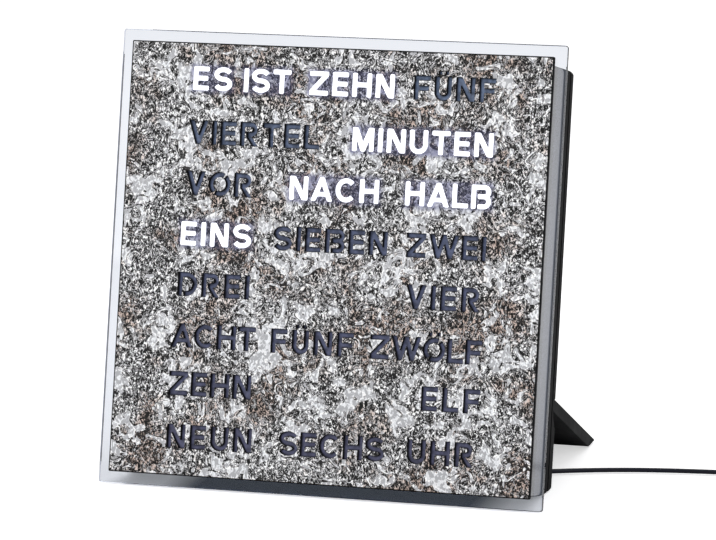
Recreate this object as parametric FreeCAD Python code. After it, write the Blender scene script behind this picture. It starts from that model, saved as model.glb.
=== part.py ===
"""Word clock: a square glass plate with a stone-look word panel, leaning back on a hinged rear stand.

Millimetres.  The clock is drawn upright first: u runs to the right, v runs back from the front face
of the glass and w runs up from the lower edge of the glass.  stand() then leans it back, so that the
lower edge of the glass and the foot of the flap rest on the table at z = 0.  The origin is under the
middle of the standing clock, +Y points to its back and +Z up.
"""
import FreeCAD, Part
import math
import os
from FreeCAD import Vector

# ---- stance -------------------------------------------------------------------------------------
lean_angle = 12.34            # the glass leans back this far from upright
flap_drop_angle = 24.24       # the open flap falls this far below the horizontal
housing_table_gap = 0.35      # air between the bevelled underside and the table

# ---- glass, panel and tape ----------------------------------------------------------------------
glass_side = 230.0
glass_thickness = 3.0
glass_corner = 1.5
glass_arris = 0.4
panel_margin = 6.0            # bare glass round the panel
panel_thickness = 3.0
panel_corner = 0.6
tape_thickness = 0.5
tape_width = 2.8
diffuser_thickness = 1.0
seat_gap = 0.3                # clearance round the inner pieces

# ---- housing ------------------------------------------------------------------------------------
housing_side_inset = 6.5
housing_bottom_inset = 6.6
housing_top_inset = 9.5
housing_corner = 3.0
wall = 2.2
lip_width = 3.2
front_depth = 35.5
shadow_gap = 2.0
shadow_depth = 1.1
neck_thickness = 2.9
tongue_length = 2.5
tongue_clearance = 0.2
cover_depth = 7.0
plinth_step = 2.0
back_top_round = 5.0
back_bottom_round = 3.0
back_side_round = 1.6
rib_thickness = 1.2
rib_height = 2.6
rib_count = 5
rib_pitch = 34.0
rib_foot = 68.0
rib_top_gap = 12.0              # from the ribs to the keyholes

# ---- light engine -------------------------------------------------------------------------------
grid_depth = 12.0
grid_wall = 1.2
row_count = 8
board_thickness = 1.6
led_size = (3.5, 2.8, 1.9)
leds_per_cell = 2
driver_chip_size = (10.0, 4.0, 1.6)
driver_chip_positions = (-60.0, -20.0, 20.0, 60.0)
word_dividers = (             # upright partitions of each row of cells, from the top row down
    (-53.6, -20.0, 33.6),
    (0.1,),
    (-31.9, 31.3),
    (-35.1, 34.8),
    (-20.0, 20.0),
    (-31.7, 19.3),
    (-20.0, 40.0),
    (-27.6, 39.6),
)

# ---- screws -------------------------------------------------------------------------------------
boss_radius = 4.0
boss_sink = 0.6               # how far a boss runs into the side wall
cover_screw_heights = (70.0, 198.0)
cover_screw_radius = 1.4
cover_screw_head_radius = 2.9
cover_screw_head_height = 2.0
cover_screw_length = 18.0
cover_screw_recess = 4.0
pillar_gap = 0.2
small_screw_radius = 1.1
small_screw_head_radius = 2.3
small_screw_head_height = 1.5
small_screw_length = 5.0
small_boss_radius = 3.0
pilot_clearance = 0.15
stud_sides = 8                # hidden bosses, pilots and shanks
taper_sides = 12              # strain reliefs

# ---- hinge and flap -----------------------------------------------------------------------------
flap_thickness = 6.2
flap_side_gap = 0.2
flap_back_gap = 0.3           # air between the folded flap and the back
flap_foot_round = 0.25
hinge_height = 54.4           # where the flap's upper face meets the back
heel_length = 8.7             # from the pivot to the inner end of the flap
heel_round = 3.0
trough_clearance = 0.35
lug_position = 86.0
lug_width = 8.0
lug_radius = 4.2
lug_clearance = 0.6
pin_radius = 1.25
pin_clearance = 0.06
pin_engagement = 9.0
washer_radius = 2.8
washer_thickness = 0.8
washer_gap = 0.3
pad_thickness = 0.6
pad_length = 50.0
pad_width = 9.0
pad_position = 65.0

# ---- control board, socket, battery and buttons -------------------------------------------------
board_setback = 10.0          # from the back of the plinth to the front face of the control board
board_floor_gap = 0.87         # from the bevelled underside's wall to the lower edge of the board
board_side_gap = 7.3           # from the board's ends to the housing's walls
control_chip_places = (        # middle u and w, length, height and depth of each block
    (-27.0, 25.0, 10.0, 10.0, 1.2),
    (-45.0, 23.0, 6.0, 6.0, 1.6),
    (-46.5, 33.0, 7.0, 3.0, 3.0),
    (62.0, 22.0, 8.0, 8.0, 2.2),
)
post_gap = 11.0                # from the battery holder to the first posts
post_end_gap = 5.0             # from the last posts to the board's end
post_inset = 4.0
jack_position = 40.0
jack_height = 20.0
jack_size = 9.0
jack_depth = 14.0
jack_nose_radius = 3.9
jack_bore_radius = 3.0
jack_bore_depth = 9.5
jack_pin_radius = 1.0
button_positions = (-14.0, 0.0, 14.0)
button_names = ("hour_button", "minute_button", "colour_button")
button_height = 26.0
button_radius = 2.9
button_clearance = 0.3
button_proud = 1.0
button_travel = 0.5
button_flange = 1.1
switch_size = 6.0
switch_height = 3.5
plunger_radius = 1.7
plunger_height = 0.2
cell_inset = 23.5              # from the housing's side to the middle of the cell
cell_radius = 10.0
cell_thickness = 3.2
holder_side = 24.0
holder_rim = 1.0               # board below the battery holder
holder_rise = 0.2              # of the holder's rim over the cell
holder_floor = 0.8
contact_thickness = 0.3
connector_size = (16.0, 5.0, 6.0)
led_connector_place = (-28.0, 30.5)
board_connector_place = (-8.0, 19.5)
ribbon_thickness = 0.8
ribbon_bend = 1.2
ribbon_slant = 2.0
door_width = 21.0
door_lip = 1.5
door_lip_thickness = 1.0
door_length = 40.0
door_thickness = 2.4
door_clearance = 0.3
slot_floor = 1.0

# ---- wall hanging -------------------------------------------------------------------------------
keyhole_position = 60.0
keyhole_height = 190.0
keyhole_radius = 4.5
keyhole_slot_radius = 2.2
keyhole_rise = 9.0

# ---- lead and power supply ----------------------------------------------------------------------
cord_radius = 1.2
plug_barrel_radius = 2.75
plug_head = 10.0
plug_reach = 12.0
plug_handle_length = 12.0
plug_handle_radius = 3.8
plug_collar_radius = 4.6
plug_relief_length = 8.0
plug_relief_radii = (2.5, 1.6)
coil_centre = (216.0, 7.4)
coil_layers = 4
coil_inner_radius = 8.6
coil_outer_radius = 20.6
adapter_size = (38.0, 52.0, 26.0)
adapter_round = 3.0
adapter_pin_radius = 2.0
adapter_pin_length = 19.0
adapter_pin_spacing = 19.0
adapter_relief_length = 9.0

# ---- sizes worked out from those above ----------------------------------------------------------
lean = math.radians(lean_angle)
drop = math.radians(flap_drop_angle)
lift = (glass_thickness - glass_arris) * math.sin(lean)
half_glass = glass_side / 2
half_width = half_glass - housing_side_inset
housing_bottom = housing_bottom_inset
housing_top = glass_side - housing_top_inset
housing_front = glass_thickness + tape_thickness
housing_back = housing_front + front_depth
cover_front = housing_back + shadow_gap
back_plane = cover_front + cover_depth
plinth_plane = back_plane + plinth_step
grid_front = glass_thickness + diffuser_thickness
grid_back = grid_front + grid_depth
led_board_back = grid_back + board_thickness
board_plane = plinth_plane - board_setback
control_back = board_plane + board_thickness
board_half_length = half_width - wall - board_side_gap
cell_position = cell_inset - half_width
post_positions = (cell_position + holder_side / 2 + post_gap, board_half_length - post_end_gap)
holder_back = control_back + holder_floor + contact_thickness + cell_thickness + holder_rise
board_bottom = ((housing_table_gap - lift + holder_back * math.sin(lean) + wall) / math.cos(lean)
                + board_floor_gap)
cell_height = board_bottom + holder_rim + holder_side / 2
board_top = cell_height + holder_side / 2
post_heights = (board_bottom + post_inset, board_top - post_inset)

# flap axes, drawn upright: along runs from the hinge to the foot, across points out of its upper face
along = (math.cos(drop - lean), -math.sin(drop - lean))
across = (math.sin(drop - lean), math.cos(drop - lean))
half_flap = flap_thickness / 2
pivot_back = back_plane + flap_back_gap + half_flap
pivot_run = (pivot_back - back_plane + half_flap * across[0]) / along[0]
pivot_height = hinge_height + pivot_run * along[1] - half_flap * across[1]
trough_radius = heel_length + trough_clearance
plinth_top = pivot_height - trough_radius - 0.9
slot_half = lug_width / 2 + washer_thickness + washer_gap


def table_height(v, w):
    """Height over the table of a point of the upright drawing once the clock leans."""
    return w * math.cos(lean) - v * math.sin(lean) + lift


def table_depth(v, w):
    """Distance behind the lower front edge of the glass, along the table."""
    return w * math.sin(lean) + v * math.cos(lean)


def sole_run(n, height):
    """Distance along the flap from the pivot to a level height, for a line n above its middle."""
    start = table_height(pivot_back, pivot_height)
    return (start + n * math.cos(drop) - height) / math.sin(drop)


def flap_point(s, n):
    """A point of the flap's side outline, s along it from the pivot and n above its middle."""
    return (pivot_back + s * along[0] + n * across[0], pivot_height + s * along[1] + n * across[1])


tip = flap_point(sole_run(half_flap, pad_thickness), half_flap)
tip_shortening = flap_foot_round * (1 / math.tan(drop / 2) - 1)
front_reach = table_depth(-panel_thickness, panel_margin)
back_reach = table_depth(*tip) - tip_shortening
centre_depth = (front_reach + back_reach) / 2


# ---- helpers ------------------------------------------------------------------------------------
def rounded_wire(corners, place):
    """A closed wire through (a, b, radius) corners; place turns (a, b) into a point in space."""
    edges = []
    joints = []
    for index, (a, b, radius) in enumerate(corners):
        before = corners[index - 1]
        after = corners[(index + 1) % len(corners)]
        here = Vector(a, b, 0)
        back = (Vector(before[0], before[1], 0) - here).normalize()
        ahead = (Vector(after[0], after[1], 0) - here).normalize()
        if radius <= 0:
            joints.append((here, here, here))
            continue
        half = back.getAngle(ahead) / 2
        bisector = (back + ahead).normalize()
        reach = radius / math.tan(half)
        middle = here + bisector * (radius / math.sin(half) - radius)
        joints.append((here + back * reach, middle, here + ahead * reach))
    for index, (start, middle, end) in enumerate(joints):
        if (end - start).Length > 1e-6:
            points = [place(point.x, point.y) for point in (start, middle, end)]
            edges.append(Part.Arc(*points).toShape())
        following = joints[(index + 1) % len(joints)][0]
        if (following - end).Length > 1e-6:
            edges.append(Part.LineSegment(place(end.x, end.y), place(following.x, following.y)).toShape())
    return Part.Wire(edges)


def bar(corners, u0, u1):
    """A bar along u whose side outline has (v, w, radius) corners."""
    wire = rounded_wire(corners, lambda v, w: Vector(u0, v, w))
    return Part.Face(wire).extrude(Vector(u1 - u0, 0, 0))


def plate(u0, u1, w0, w1, radius, v0, v1):
    """A rounded rectangular plate that fills v0 to v1."""
    corners = [(u0, w0, radius), (u1, w0, radius), (u1, w1, radius), (u0, w1, radius)]
    wire = rounded_wire(corners, lambda u, w: Vector(u, v0, w))
    return Part.Face(wire).extrude(Vector(0, v1 - v0, 0))


def block(u0, u1, v0, v1, w0, w1):
    return Part.makeBox(u1 - u0, v1 - v0, w1 - w0, Vector(u0, v0, w0))


def peg(u, w, radius, v0, v1):
    """A round peg that points to the back."""
    return Part.makeCylinder(radius, v1 - v0, Vector(u, v0, w), Vector(0, 1, 0))


def prism(centre, radius, side, end):
    """An eight-sided bar from centre, flats at the radius; side and end are its across and length."""
    corner = radius / math.cos(math.pi / stud_sides)
    across_end = side.cross(end).normalize()
    turns = [math.tau * (step + 0.5) / stud_sides for step in range(stud_sides)]
    points = [centre + side * (corner * math.cos(turn)) + across_end * (corner * math.sin(turn))
              for turn in turns]
    return Part.Face(Part.makePolygon(points + points[:1])).extrude(end)


def stud(u, w, radius, v0, v1):
    """A hidden boss, shank or hole that points to the back, drawn eight-sided."""
    return prism(Vector(u, v0, w), radius, Vector(1, 0, 0), Vector(0, v1 - v0, 0))


def taper(centre, radius, end_radius, end):
    """A strain relief that tapers from centre over the length of end, drawn twelve-sided."""
    side = Vector(0, 0, 1)
    across_end = side.cross(end).normalize()
    rings = []
    for spot, size in ((centre, radius), (centre + end, end_radius)):
        turns = [math.tau * (step + 0.5) / taper_sides for step in range(taper_sides)]
        points = [spot + side * (size * math.cos(turn)) + across_end * (size * math.sin(turn))
                  for turn in turns]
        rings.append(Part.makePolygon(points + points[:1]))
    return Part.makeLoft(rings, True, True)


def axle(v, w, radius, u0, u1):
    """A round bar from left to right."""
    return Part.makeCylinder(radius, u1 - u0, Vector(u0, v, w), Vector(1, 0, 0))


def stand(shape):
    """Lean an upright piece back and put it in its place on the table."""
    shape.rotate(Vector(0, 0, 0), Vector(1, 0, 0), -lean_angle)
    shape.translate(Vector(0, -centre_depth, lift))
    return shape


nodes = {}


def keep(name, shapes, upright=True):
    """Store one piece, or a group of separate pieces, under its name."""
    shapes = shapes if isinstance(shapes, list) else [shapes]
    shape = shapes[0] if len(shapes) == 1 else Part.makeCompound(shapes)
    nodes[name] = stand(shape) if upright else shape


def underside(v, inset=0.0):
    """The bevelled underside runs level with the table when the clock leans."""
    return (housing_table_gap - lift + v * math.sin(lean) + inset) / math.cos(lean)


def housing_block(inset, v0, v1):
    """The housing's outline, set in by inset, between two depths."""
    side = half_width - inset
    radius = max(housing_corner - inset, 0.4)
    body = plate(-side, side, housing_bottom + inset, housing_top - inset, radius, v0, v1)
    below = [(v0 - 5, underside(v0 - 5, inset), 0), (v1 + 5, underside(v1 + 5, inset), 0),
             (v1 + 5, -60, 0), (v0 - 5, -60, 0)]
    return body.cut(bar(below, -side - 5, side + 5))


# ---- glass, panel, tape and diffuser ------------------------------------------------------------
def make_glass():
    body = plate(-half_glass, half_glass, 0, glass_side, glass_corner, 0, glass_thickness)
    rims = [edge for edge in body.Edges if abs(edge.BoundBox.YMax - edge.BoundBox.YMin) < 1e-6]
    keep("glass_plate", body.makeChamfer(glass_arris, rims))


def make_panel():
    side = half_glass - panel_margin
    top = glass_side - panel_margin
    keep("word_panel", plate(-side, side, panel_margin, top, panel_corner, -panel_thickness, 0))


def make_tape_and_diffuser():
    outer = housing_block(seat_gap, glass_thickness, housing_front)
    keep("foam_tape", outer.cut(housing_block(seat_gap + tape_width, 0, housing_front + 1)))
    inset = lip_width + seat_gap
    keep("diffuser_sheet", housing_block(inset, glass_thickness, grid_front))


# ---- light grid, lamps and their board ----------------------------------------------------------
grid_inset = lip_width + seat_gap
grid_side = half_width - grid_inset
grid_bottom = housing_bottom + grid_inset
grid_top = housing_top - grid_inset
row_height = (grid_top - grid_bottom) / row_count
boss_side = half_width - wall - boss_radius + boss_sink
small_boss_side = grid_side - small_boss_radius - 1.0
small_boss_heights = (grid_bottom + small_boss_radius + 1.0, grid_top - small_boss_radius - 1.0)


def notches(v0, v1, gap):
    """Room round the bosses of the front housing at the rim of the grid and of the led board."""
    rooms = []
    for side in (-1, 1):
        inner = boss_side - boss_radius - gap
        edge = sorted((side * inner, side * (half_width + 5)))
        for height in cover_screw_heights:
            reach = boss_radius + gap
            rooms.append(block(edge[0], edge[1], v0, v1, height - reach, height + reach))
    return rooms


def word_cells():
    """Each cell as (left, right, bottom, top)."""
    cells = []
    for row, dividers in enumerate(word_dividers):
        top = grid_top - row * row_height
        edges = [-grid_side + grid_wall] + list(dividers) + [grid_side - grid_wall]
        for left, right in zip(edges, edges[1:]):
            bounds = (left + grid_wall / 2, right - grid_wall / 2)
            cells.append(bounds + (top - row_height + grid_wall / 2, top - grid_wall / 2))
    return cells


def make_light_engine():
    body = plate(-grid_side, grid_side, grid_bottom, grid_top, 0.4, grid_front, grid_back)
    corner_room = small_boss_radius + 2.0
    solid_parts = [room for room in notches(grid_front, grid_back, seat_gap + grid_wall)]
    for u in (-small_boss_side, small_boss_side):
        for w in small_boss_heights:
            solid_parts.append(block(u - corner_room, u + corner_room, grid_front, grid_back,
                                     w - corner_room, w + corner_room))
    kept_rims = Part.makeCompound(solid_parts)
    openings = [block(left, right, grid_front, grid_back, bottom, top).cut(kept_rims)
                for left, right, bottom, top in word_cells()]
    body = body.cut(openings)
    body = body.cut(notches(grid_front, grid_back, seat_gap))
    reach = small_boss_radius + seat_gap
    for u in (-small_boss_side, small_boss_side):
        for w in small_boss_heights:
            inner = u - math.copysign(reach, u)
            outer = math.copysign(half_width + 5, u)
            lower, upper = (w - reach, housing_top) if w > glass_side / 2 else (0, w + reach)
            body = body.cut(block(min(inner, outer), max(inner, outer), housing_front, grid_back,
                                  lower, upper))
    keep("light_grid", body)

    board = block(-grid_side, grid_side, grid_back, led_board_back, grid_bottom, grid_top)
    board = board.cut(notches(grid_back, led_board_back, seat_gap))
    board = board.cut([stud(u, w, small_screw_radius + pilot_clearance, grid_back, led_board_back)
                       for u in (-small_boss_side, small_boss_side) for w in small_boss_heights])
    keep("led_board", board)

    lamps = []
    length, height, depth = led_size
    for left, right, bottom, top in word_cells():
        for step in range(leds_per_cell):
            u = left + (right - left) * (step + 0.5) / leds_per_cell
            w = (bottom + top) / 2
            lamps.append(block(u - length / 2, u + length / 2, grid_back - depth, grid_back,
                               w - height / 2, w + height / 2))
    keep("leds", lamps)
    length, height, depth = driver_chip_size
    middle = (grid_bottom + grid_top) / 2
    keep("driver_chips", [block(u - length / 2, u + length / 2, led_board_back, led_board_back + depth,
                                middle - height / 2, middle + height / 2)
                          for u in driver_chip_positions])


def make_front_housing():
    body = housing_block(0, housing_front, housing_back)
    body = body.cut(housing_block(wall, housing_front + 2.0, housing_back + 1))
    body = body.cut(housing_block(lip_width, housing_front - 1, housing_front + 3.0))
    inside = housing_block(0.5, housing_front, housing_back)
    floor = housing_front + 2.0
    boss_end = housing_back - tongue_length - seat_gap
    for side in (-boss_side, boss_side):
        for w in cover_screw_heights:
            body = body.fuse(stud(side, w, boss_radius, floor - 0.5, boss_end).common(inside))
            pilot = cover_screw_radius + pilot_clearance
            body = body.cut(stud(side, w, pilot, boss_end - cover_screw_length, boss_end + 1))
    for u in (-small_boss_side, small_boss_side):
        for w in small_boss_heights:
            side = math.copysign(half_width - 1, u)
            edge = math.copysign(1, w - glass_side / 2)
            rim = housing_top - 1 if edge > 0 else housing_bottom + 1
            post = stud(u, w, small_boss_radius, floor - 0.5, grid_back)
            web = block(min(u, side), max(u, side), floor - 0.5, floor + 2.5, w - 1, w + 1)
            stay = block(u - 1, u + 1, floor - 0.5, floor + 2.5, min(w, rim), max(w, rim))
            body = body.fuse([post, web.common(inside), stay.common(inside)])
            pilot = small_screw_radius + pilot_clearance
            body = body.cut(stud(u, w, pilot, grid_back - small_screw_length - 1, grid_back + 1))
    keep("front_housing", body.removeSplitter())


# ---- rear cover ---------------------------------------------------------------------------------
def cover_block(back, w0, w1, rounds, inset, v0):
    """One level of the cover, set in by inset: rounded in side view and in plan."""
    bottom_round, top_round, side_round = [max(size - inset, 0.3) for size in rounds]
    rear = back - inset
    side = half_width - inset
    profile = [(v0, w0, 0), (rear, w0, bottom_round), (rear, w1, top_round), (v0, w1, 0)]
    plan = [(-side, v0, 0), (side, v0, 0), (side, rear, side_round), (-side, rear, side_round)]
    wire = rounded_wire(plan, lambda u, v: Vector(u, v, w0 - 5))
    column = Part.Face(wire).extrude(Vector(0, 0, w1 - w0 + 10))
    return bar(profile, -side, side).common(column)


def cover_shell(inset, v0):
    """Upper back and plinth together, with the housing's rounded corners and bevelled underside."""
    upper = cover_block(back_plane, plinth_top - 8, housing_top - inset,
                        (0, back_top_round, back_side_round), inset, v0)
    side = half_width - inset
    profile = [(v0, underside(v0, inset), 0),
               (plinth_plane - inset, underside(plinth_plane - inset, inset), back_bottom_round),
               (plinth_plane - inset, plinth_top - inset, 1.0),
               (v0, plinth_top - inset, 0)]
    plan = [(-side, v0, 0), (side, v0, 0), (side, plinth_plane - inset, back_side_round),
            (-side, plinth_plane - inset, back_side_round)]
    wire = rounded_wire(plan, lambda u, v: Vector(u, v, 0))
    column = Part.Face(wire).extrude(Vector(0, 0, housing_top))
    plinth = bar(profile, -side, side).common(column)
    outline = housing_block(inset, v0, plinth_plane + 1)
    return upper.fuse(plinth).common(outline)


def lug_spans():
    return [(centre - lug_width / 2, centre + lug_width / 2) for centre in (-lug_position, lug_position)]


def trough_cutter():
    """The room that the flap's heel turns in, closed above by the face that stops the open flap."""
    swing = axle(pivot_back, pivot_height, trough_radius, -half_width - 1, half_width + 1)
    stop = half_flap + trough_clearance
    reach = 2 * trough_radius
    above = [flap_point(-reach, stop), flap_point(reach, stop),
             flap_point(reach, 2 * reach), flap_point(-reach, 2 * reach)]
    swing = swing.cut(bar([point + (0,) for point in above], -half_width - 2, half_width + 2))
    return swing.cut([block(left, right, pivot_back - reach, pivot_back + reach, pivot_height - reach,
                            pivot_height + reach) for left, right in lug_spans()])


def make_rear_cover():
    body = cover_shell(0, cover_front).cut(cover_shell(wall, cover_front - 1))
    neck = housing_block(shadow_depth, housing_back, cover_front + 1.5)
    neck = neck.cut(housing_block(shadow_depth + neck_thickness, housing_back - 1, cover_front + 3))
    tongue_inset = wall + tongue_clearance
    tongue = housing_block(tongue_inset, housing_back - tongue_length, housing_back + 1)
    tongue = tongue.cut(housing_block(shadow_depth + neck_thickness, housing_back - 6, housing_back + 3))
    body = body.fuse([neck, tongue])

    # hinge trough with its wall, and the lugs that carry the pins
    inner = half_width - shadow_depth
    swing_wall = axle(pivot_back, pivot_height, trough_radius + wall, -inner, inner)
    reach = 2 * trough_radius
    body = body.fuse(swing_wall.common(block(-inner, inner, cover_front - 1.6, back_plane - 0.5,
                                             pivot_height - reach, pivot_height + reach)))
    body = body.cut(trough_cutter())
    for left, right in lug_spans():
        foot = block(left, right, back_plane - 4, pivot_back, pivot_height - lug_radius,
                     pivot_height + lug_radius)
        lug = foot.fuse(axle(pivot_back, pivot_height, lug_radius, left, right))
        bore = axle(pivot_back, pivot_height, pin_radius + pin_clearance, left - 2, right + 2)
        body = body.fuse(lug).cut(bore)

    # stiffening ribs across the upper back
    inner_back = back_plane - wall
    for step in range(rib_count):
        u = (step - (rib_count - 1) / 2) * rib_pitch
        body = body.fuse(block(u - rib_thickness / 2, u + rib_thickness / 2, inner_back - rib_height,
                               inner_back + 0.5, rib_foot, keyhole_height - rib_top_gap))

    # screw pillars with counterbores
    pillar_front = housing_back - tongue_length - seat_gap + pillar_gap
    head_seat = back_plane - cover_screw_recess
    room = housing_block(tongue_inset, housing_back - 6, cover_front + 1)
    room = room.fuse(housing_block(1.0, cover_front, back_plane))
    for side in (-boss_side, boss_side):
        for w in cover_screw_heights:
            body = body.fuse(stud(side, w, boss_radius, pillar_front, back_plane - 0.5).common(room))
            body = body.cut(stud(side, w, cover_screw_radius + 0.3, pillar_front - 1, back_plane + 1))
            body = body.cut(peg(side, w, cover_screw_head_radius + 0.4, head_seat, back_plane + 1))

    # socket hole and button holes in the plinth, and the posts of the control board
    cut_front = cover_front + 3
    body = body.cut(peg(jack_position, jack_height, jack_nose_radius + 0.2, cut_front, plinth_plane + 1))
    for u in button_positions:
        hole = button_radius + button_clearance
        body = body.cut(peg(u, button_height, hole, cut_front, plinth_plane + 1))
    for u in post_positions:
        for w in post_heights:
            body = body.fuse(stud(u, w, small_boss_radius, control_back, plinth_plane - wall + 0.5))
            pilot = small_screw_radius + pilot_clearance
            body = body.cut(stud(u, w, pilot, control_back - 1, control_back + small_screw_length))

    # battery compartment: floor, T slot open to the left side, and the round way to the cell
    seat = plinth_plane - door_thickness - door_clearance
    slot_end = -half_width + door_length + door_clearance
    half_wide = door_width / 2 + door_lip + door_clearance
    half_narrow = door_width / 2 + door_clearance
    lip_top = seat + door_lip_thickness + 2 * door_clearance
    body = body.fuse(block(-half_width + 1.5, slot_end + 2, seat - slot_floor, plinth_plane - 1,
                           cell_height - half_wide - 1.2, cell_height + half_wide + 1.2))
    body = body.cut([block(-half_width - 1, slot_end, seat, lip_top,
                           cell_height - half_wide, cell_height + half_wide),
                     block(-half_width - 1, slot_end, seat, plinth_plane + 1,
                           cell_height - half_narrow, cell_height + half_narrow),
                     stud(cell_position, cell_height, cell_radius + 0.6, cut_front, seat + 0.5)])

    # keyholes for hanging on a wall
    for u in (-keyhole_position, keyhole_position):
        body = body.cut([peg(u, keyhole_height, keyhole_radius, inner_back - 1, back_plane + 1),
                         block(u - keyhole_slot_radius, u + keyhole_slot_radius, inner_back - 1,
                               back_plane + 1, keyhole_height, keyhole_height + keyhole_rise),
                         peg(u, keyhole_height + keyhole_rise, keyhole_slot_radius, inner_back - 1,
                             back_plane + 1)])
    keep("rear_cover", body.removeSplitter())


# ---- screws -------------------------------------------------------------------------------------
def screw(u, w, seat, direction, radius, length):
    """The shank of a screw under its seat; direction is +1 for a head at the back."""
    return stud(u, w, radius, min(seat, seat - direction * length), max(seat, seat - direction * length))


def make_cover_screws():
    """Screws whose round heads sit at the bottom of the cover's counterbores."""
    seat = back_plane - cover_screw_recess
    screws = []
    for u in (-boss_side, boss_side):
        for w in cover_screw_heights:
            head = peg(u, w, cover_screw_head_radius, seat, seat + cover_screw_head_height)
            screws.append(head.fuse(screw(u, w, seat, 1, cover_screw_radius, cover_screw_length)))
    keep("cover_screws", screws)


def make_board_screws():
    """Small hidden screws: the led board's heads are at the back, the control board's at the front."""
    places = [(u, w, led_board_back, 1) for u in (-small_boss_side, small_boss_side)
              for w in small_boss_heights]
    places += [(u, w, board_plane, -1) for u in post_positions for w in post_heights]
    screws = []
    for u, w, seat, direction in places:
        top = seat + direction * small_screw_head_height
        head = stud(u, w, small_screw_head_radius, min(seat, top), max(seat, top))
        screws.append(head.fuse(screw(u, w, seat, direction, small_screw_radius, small_screw_length)))
    keep("board_screws", screws)


# ---- control board and what is on it ------------------------------------------------------------
def make_control_board():
    board = block(-board_half_length, board_half_length, board_plane, control_back,
                  board_bottom, board_top)
    reach = jack_size / 2 + seat_gap
    board = board.cut(block(jack_position - reach, jack_position + reach, board_plane - 1,
                            control_back + 1, jack_height - reach, jack_height + reach))
    board = board.cut([stud(u, w, small_screw_radius + pilot_clearance, board_plane - 1, control_back + 1)
                       for u in post_positions for w in post_heights])
    keep("control_board", board)
    keep("control_chips", [block(u - length / 2, u + length / 2, board_plane - depth, board_plane,
                                 w - height / 2, w + height / 2)
                           for u, w, length, height, depth in control_chip_places])
    half = switch_size / 2
    switches = []
    for u in button_positions:
        case = block(u - half, u + half, control_back, control_back + switch_height,
                     button_height - half, button_height + half)
        top = control_back + switch_height + plunger_height
        switches.append(case.fuse(stud(u, button_height, plunger_radius, control_back + 1, top)))
    keep("tact_switches", switches)


def make_buttons():
    plunger_top = control_back + switch_height + plunger_height
    pin_end = plunger_top + seat_gap + button_travel
    flange_back = plinth_plane - wall - button_clearance
    for name, u in zip(button_names, button_positions):
        cap = peg(u, button_height, button_radius, flange_back - 0.5, plinth_plane + button_proud)
        flange = stud(u, button_height, button_radius + button_flange, flange_back - 1.0, flange_back)
        pin = stud(u, button_height, 1.5, pin_end, flange_back - 0.5)
        keep(name, cap.fuse([flange, pin]).removeSplitter())


def make_jack():
    half = jack_size / 2
    nose_start = plinth_plane - wall - seat_gap
    body = block(jack_position - half, jack_position + half, plinth_plane - jack_depth, nose_start,
                 jack_height - half, jack_height + half)
    body = body.fuse(peg(jack_position, jack_height, jack_nose_radius, nose_start - 1, plinth_plane))
    floor = plinth_plane - jack_bore_depth
    body = body.cut(peg(jack_position, jack_height, jack_bore_radius, floor, plinth_plane + 1))
    contact = stud(jack_position, jack_height, jack_pin_radius * 0.9, floor - 0.5, plinth_plane - 1)
    keep("dc_jack", body.fuse(contact))


def make_battery():
    half = holder_side / 2
    holder = block(cell_position - half, cell_position + half, control_back, holder_back,
                   cell_height - half, cell_height + half)
    holder = holder.cut(stud(cell_position, cell_height, cell_radius + 0.15,
                             control_back + holder_floor, holder_back + 1))
    keep("battery_holder", holder)
    floor = control_back + holder_floor
    outer, inner = cell_radius * 0.65, cell_radius * 0.3
    strip = stud(cell_position, cell_height, outer, floor, floor + contact_thickness)
    keep("battery_contact", strip.cut(stud(cell_position, cell_height, inner, floor - 1, floor + 2)))
    bottom = floor + contact_thickness
    keep("coin_cell", peg(cell_position, cell_height, cell_radius, bottom, bottom + cell_thickness))

    seat = plinth_plane - door_thickness
    left = -half_width + door_clearance
    right = -half_width + door_length
    wide = door_width / 2 + door_lip
    door = block(left, right, seat, seat + door_lip_thickness, cell_height - wide, cell_height + wide)
    door = door.fuse(block(left, right, seat, plinth_plane, cell_height - door_width / 2,
                           cell_height + door_width / 2))
    grips = [block(left + 5 + 2.4 * step, left + 6.2 + 2.4 * step, plinth_plane - 0.5, plinth_plane + 1,
                   cell_height - 6, cell_height + 6) for step in range(4)]
    keep("battery_door", door.cut(grips))


def make_ribbon():
    """A flat cable from the led board down to the control board, plugged into a connector on each."""
    length, height, depth = connector_size
    start = led_board_back + depth
    end = board_plane - depth
    upper_u, upper_w = led_connector_place
    lower_u, lower_w = board_connector_place
    keep("ribbon_connectors", [block(upper_u - length / 2, upper_u + length / 2, led_board_back, start,
                                     upper_w - height / 2, upper_w + height / 2),
                               block(lower_u - length / 2, lower_u + length / 2, end, board_plane,
                                     lower_w - height / 2, lower_w + height / 2)])
    middle = (start + end) / 2
    half = ribbon_thickness / 2
    slant = ribbon_slant
    outer = ribbon_bend
    inner = ribbon_bend / 2
    run = [(start, upper_w + half, 0), (middle - slant / 2, upper_w + half, outer),
           (middle + slant, lower_w + half, inner), (end, lower_w + half, 0),
           (end, lower_w - half, 0), (middle + slant - half, lower_w - half, outer),
           (middle - slant / 2 - half, upper_w - half, inner), (start, upper_w - half, 0)]
    keep("ribbon_cable", bar(run, upper_u, lower_u))


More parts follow.
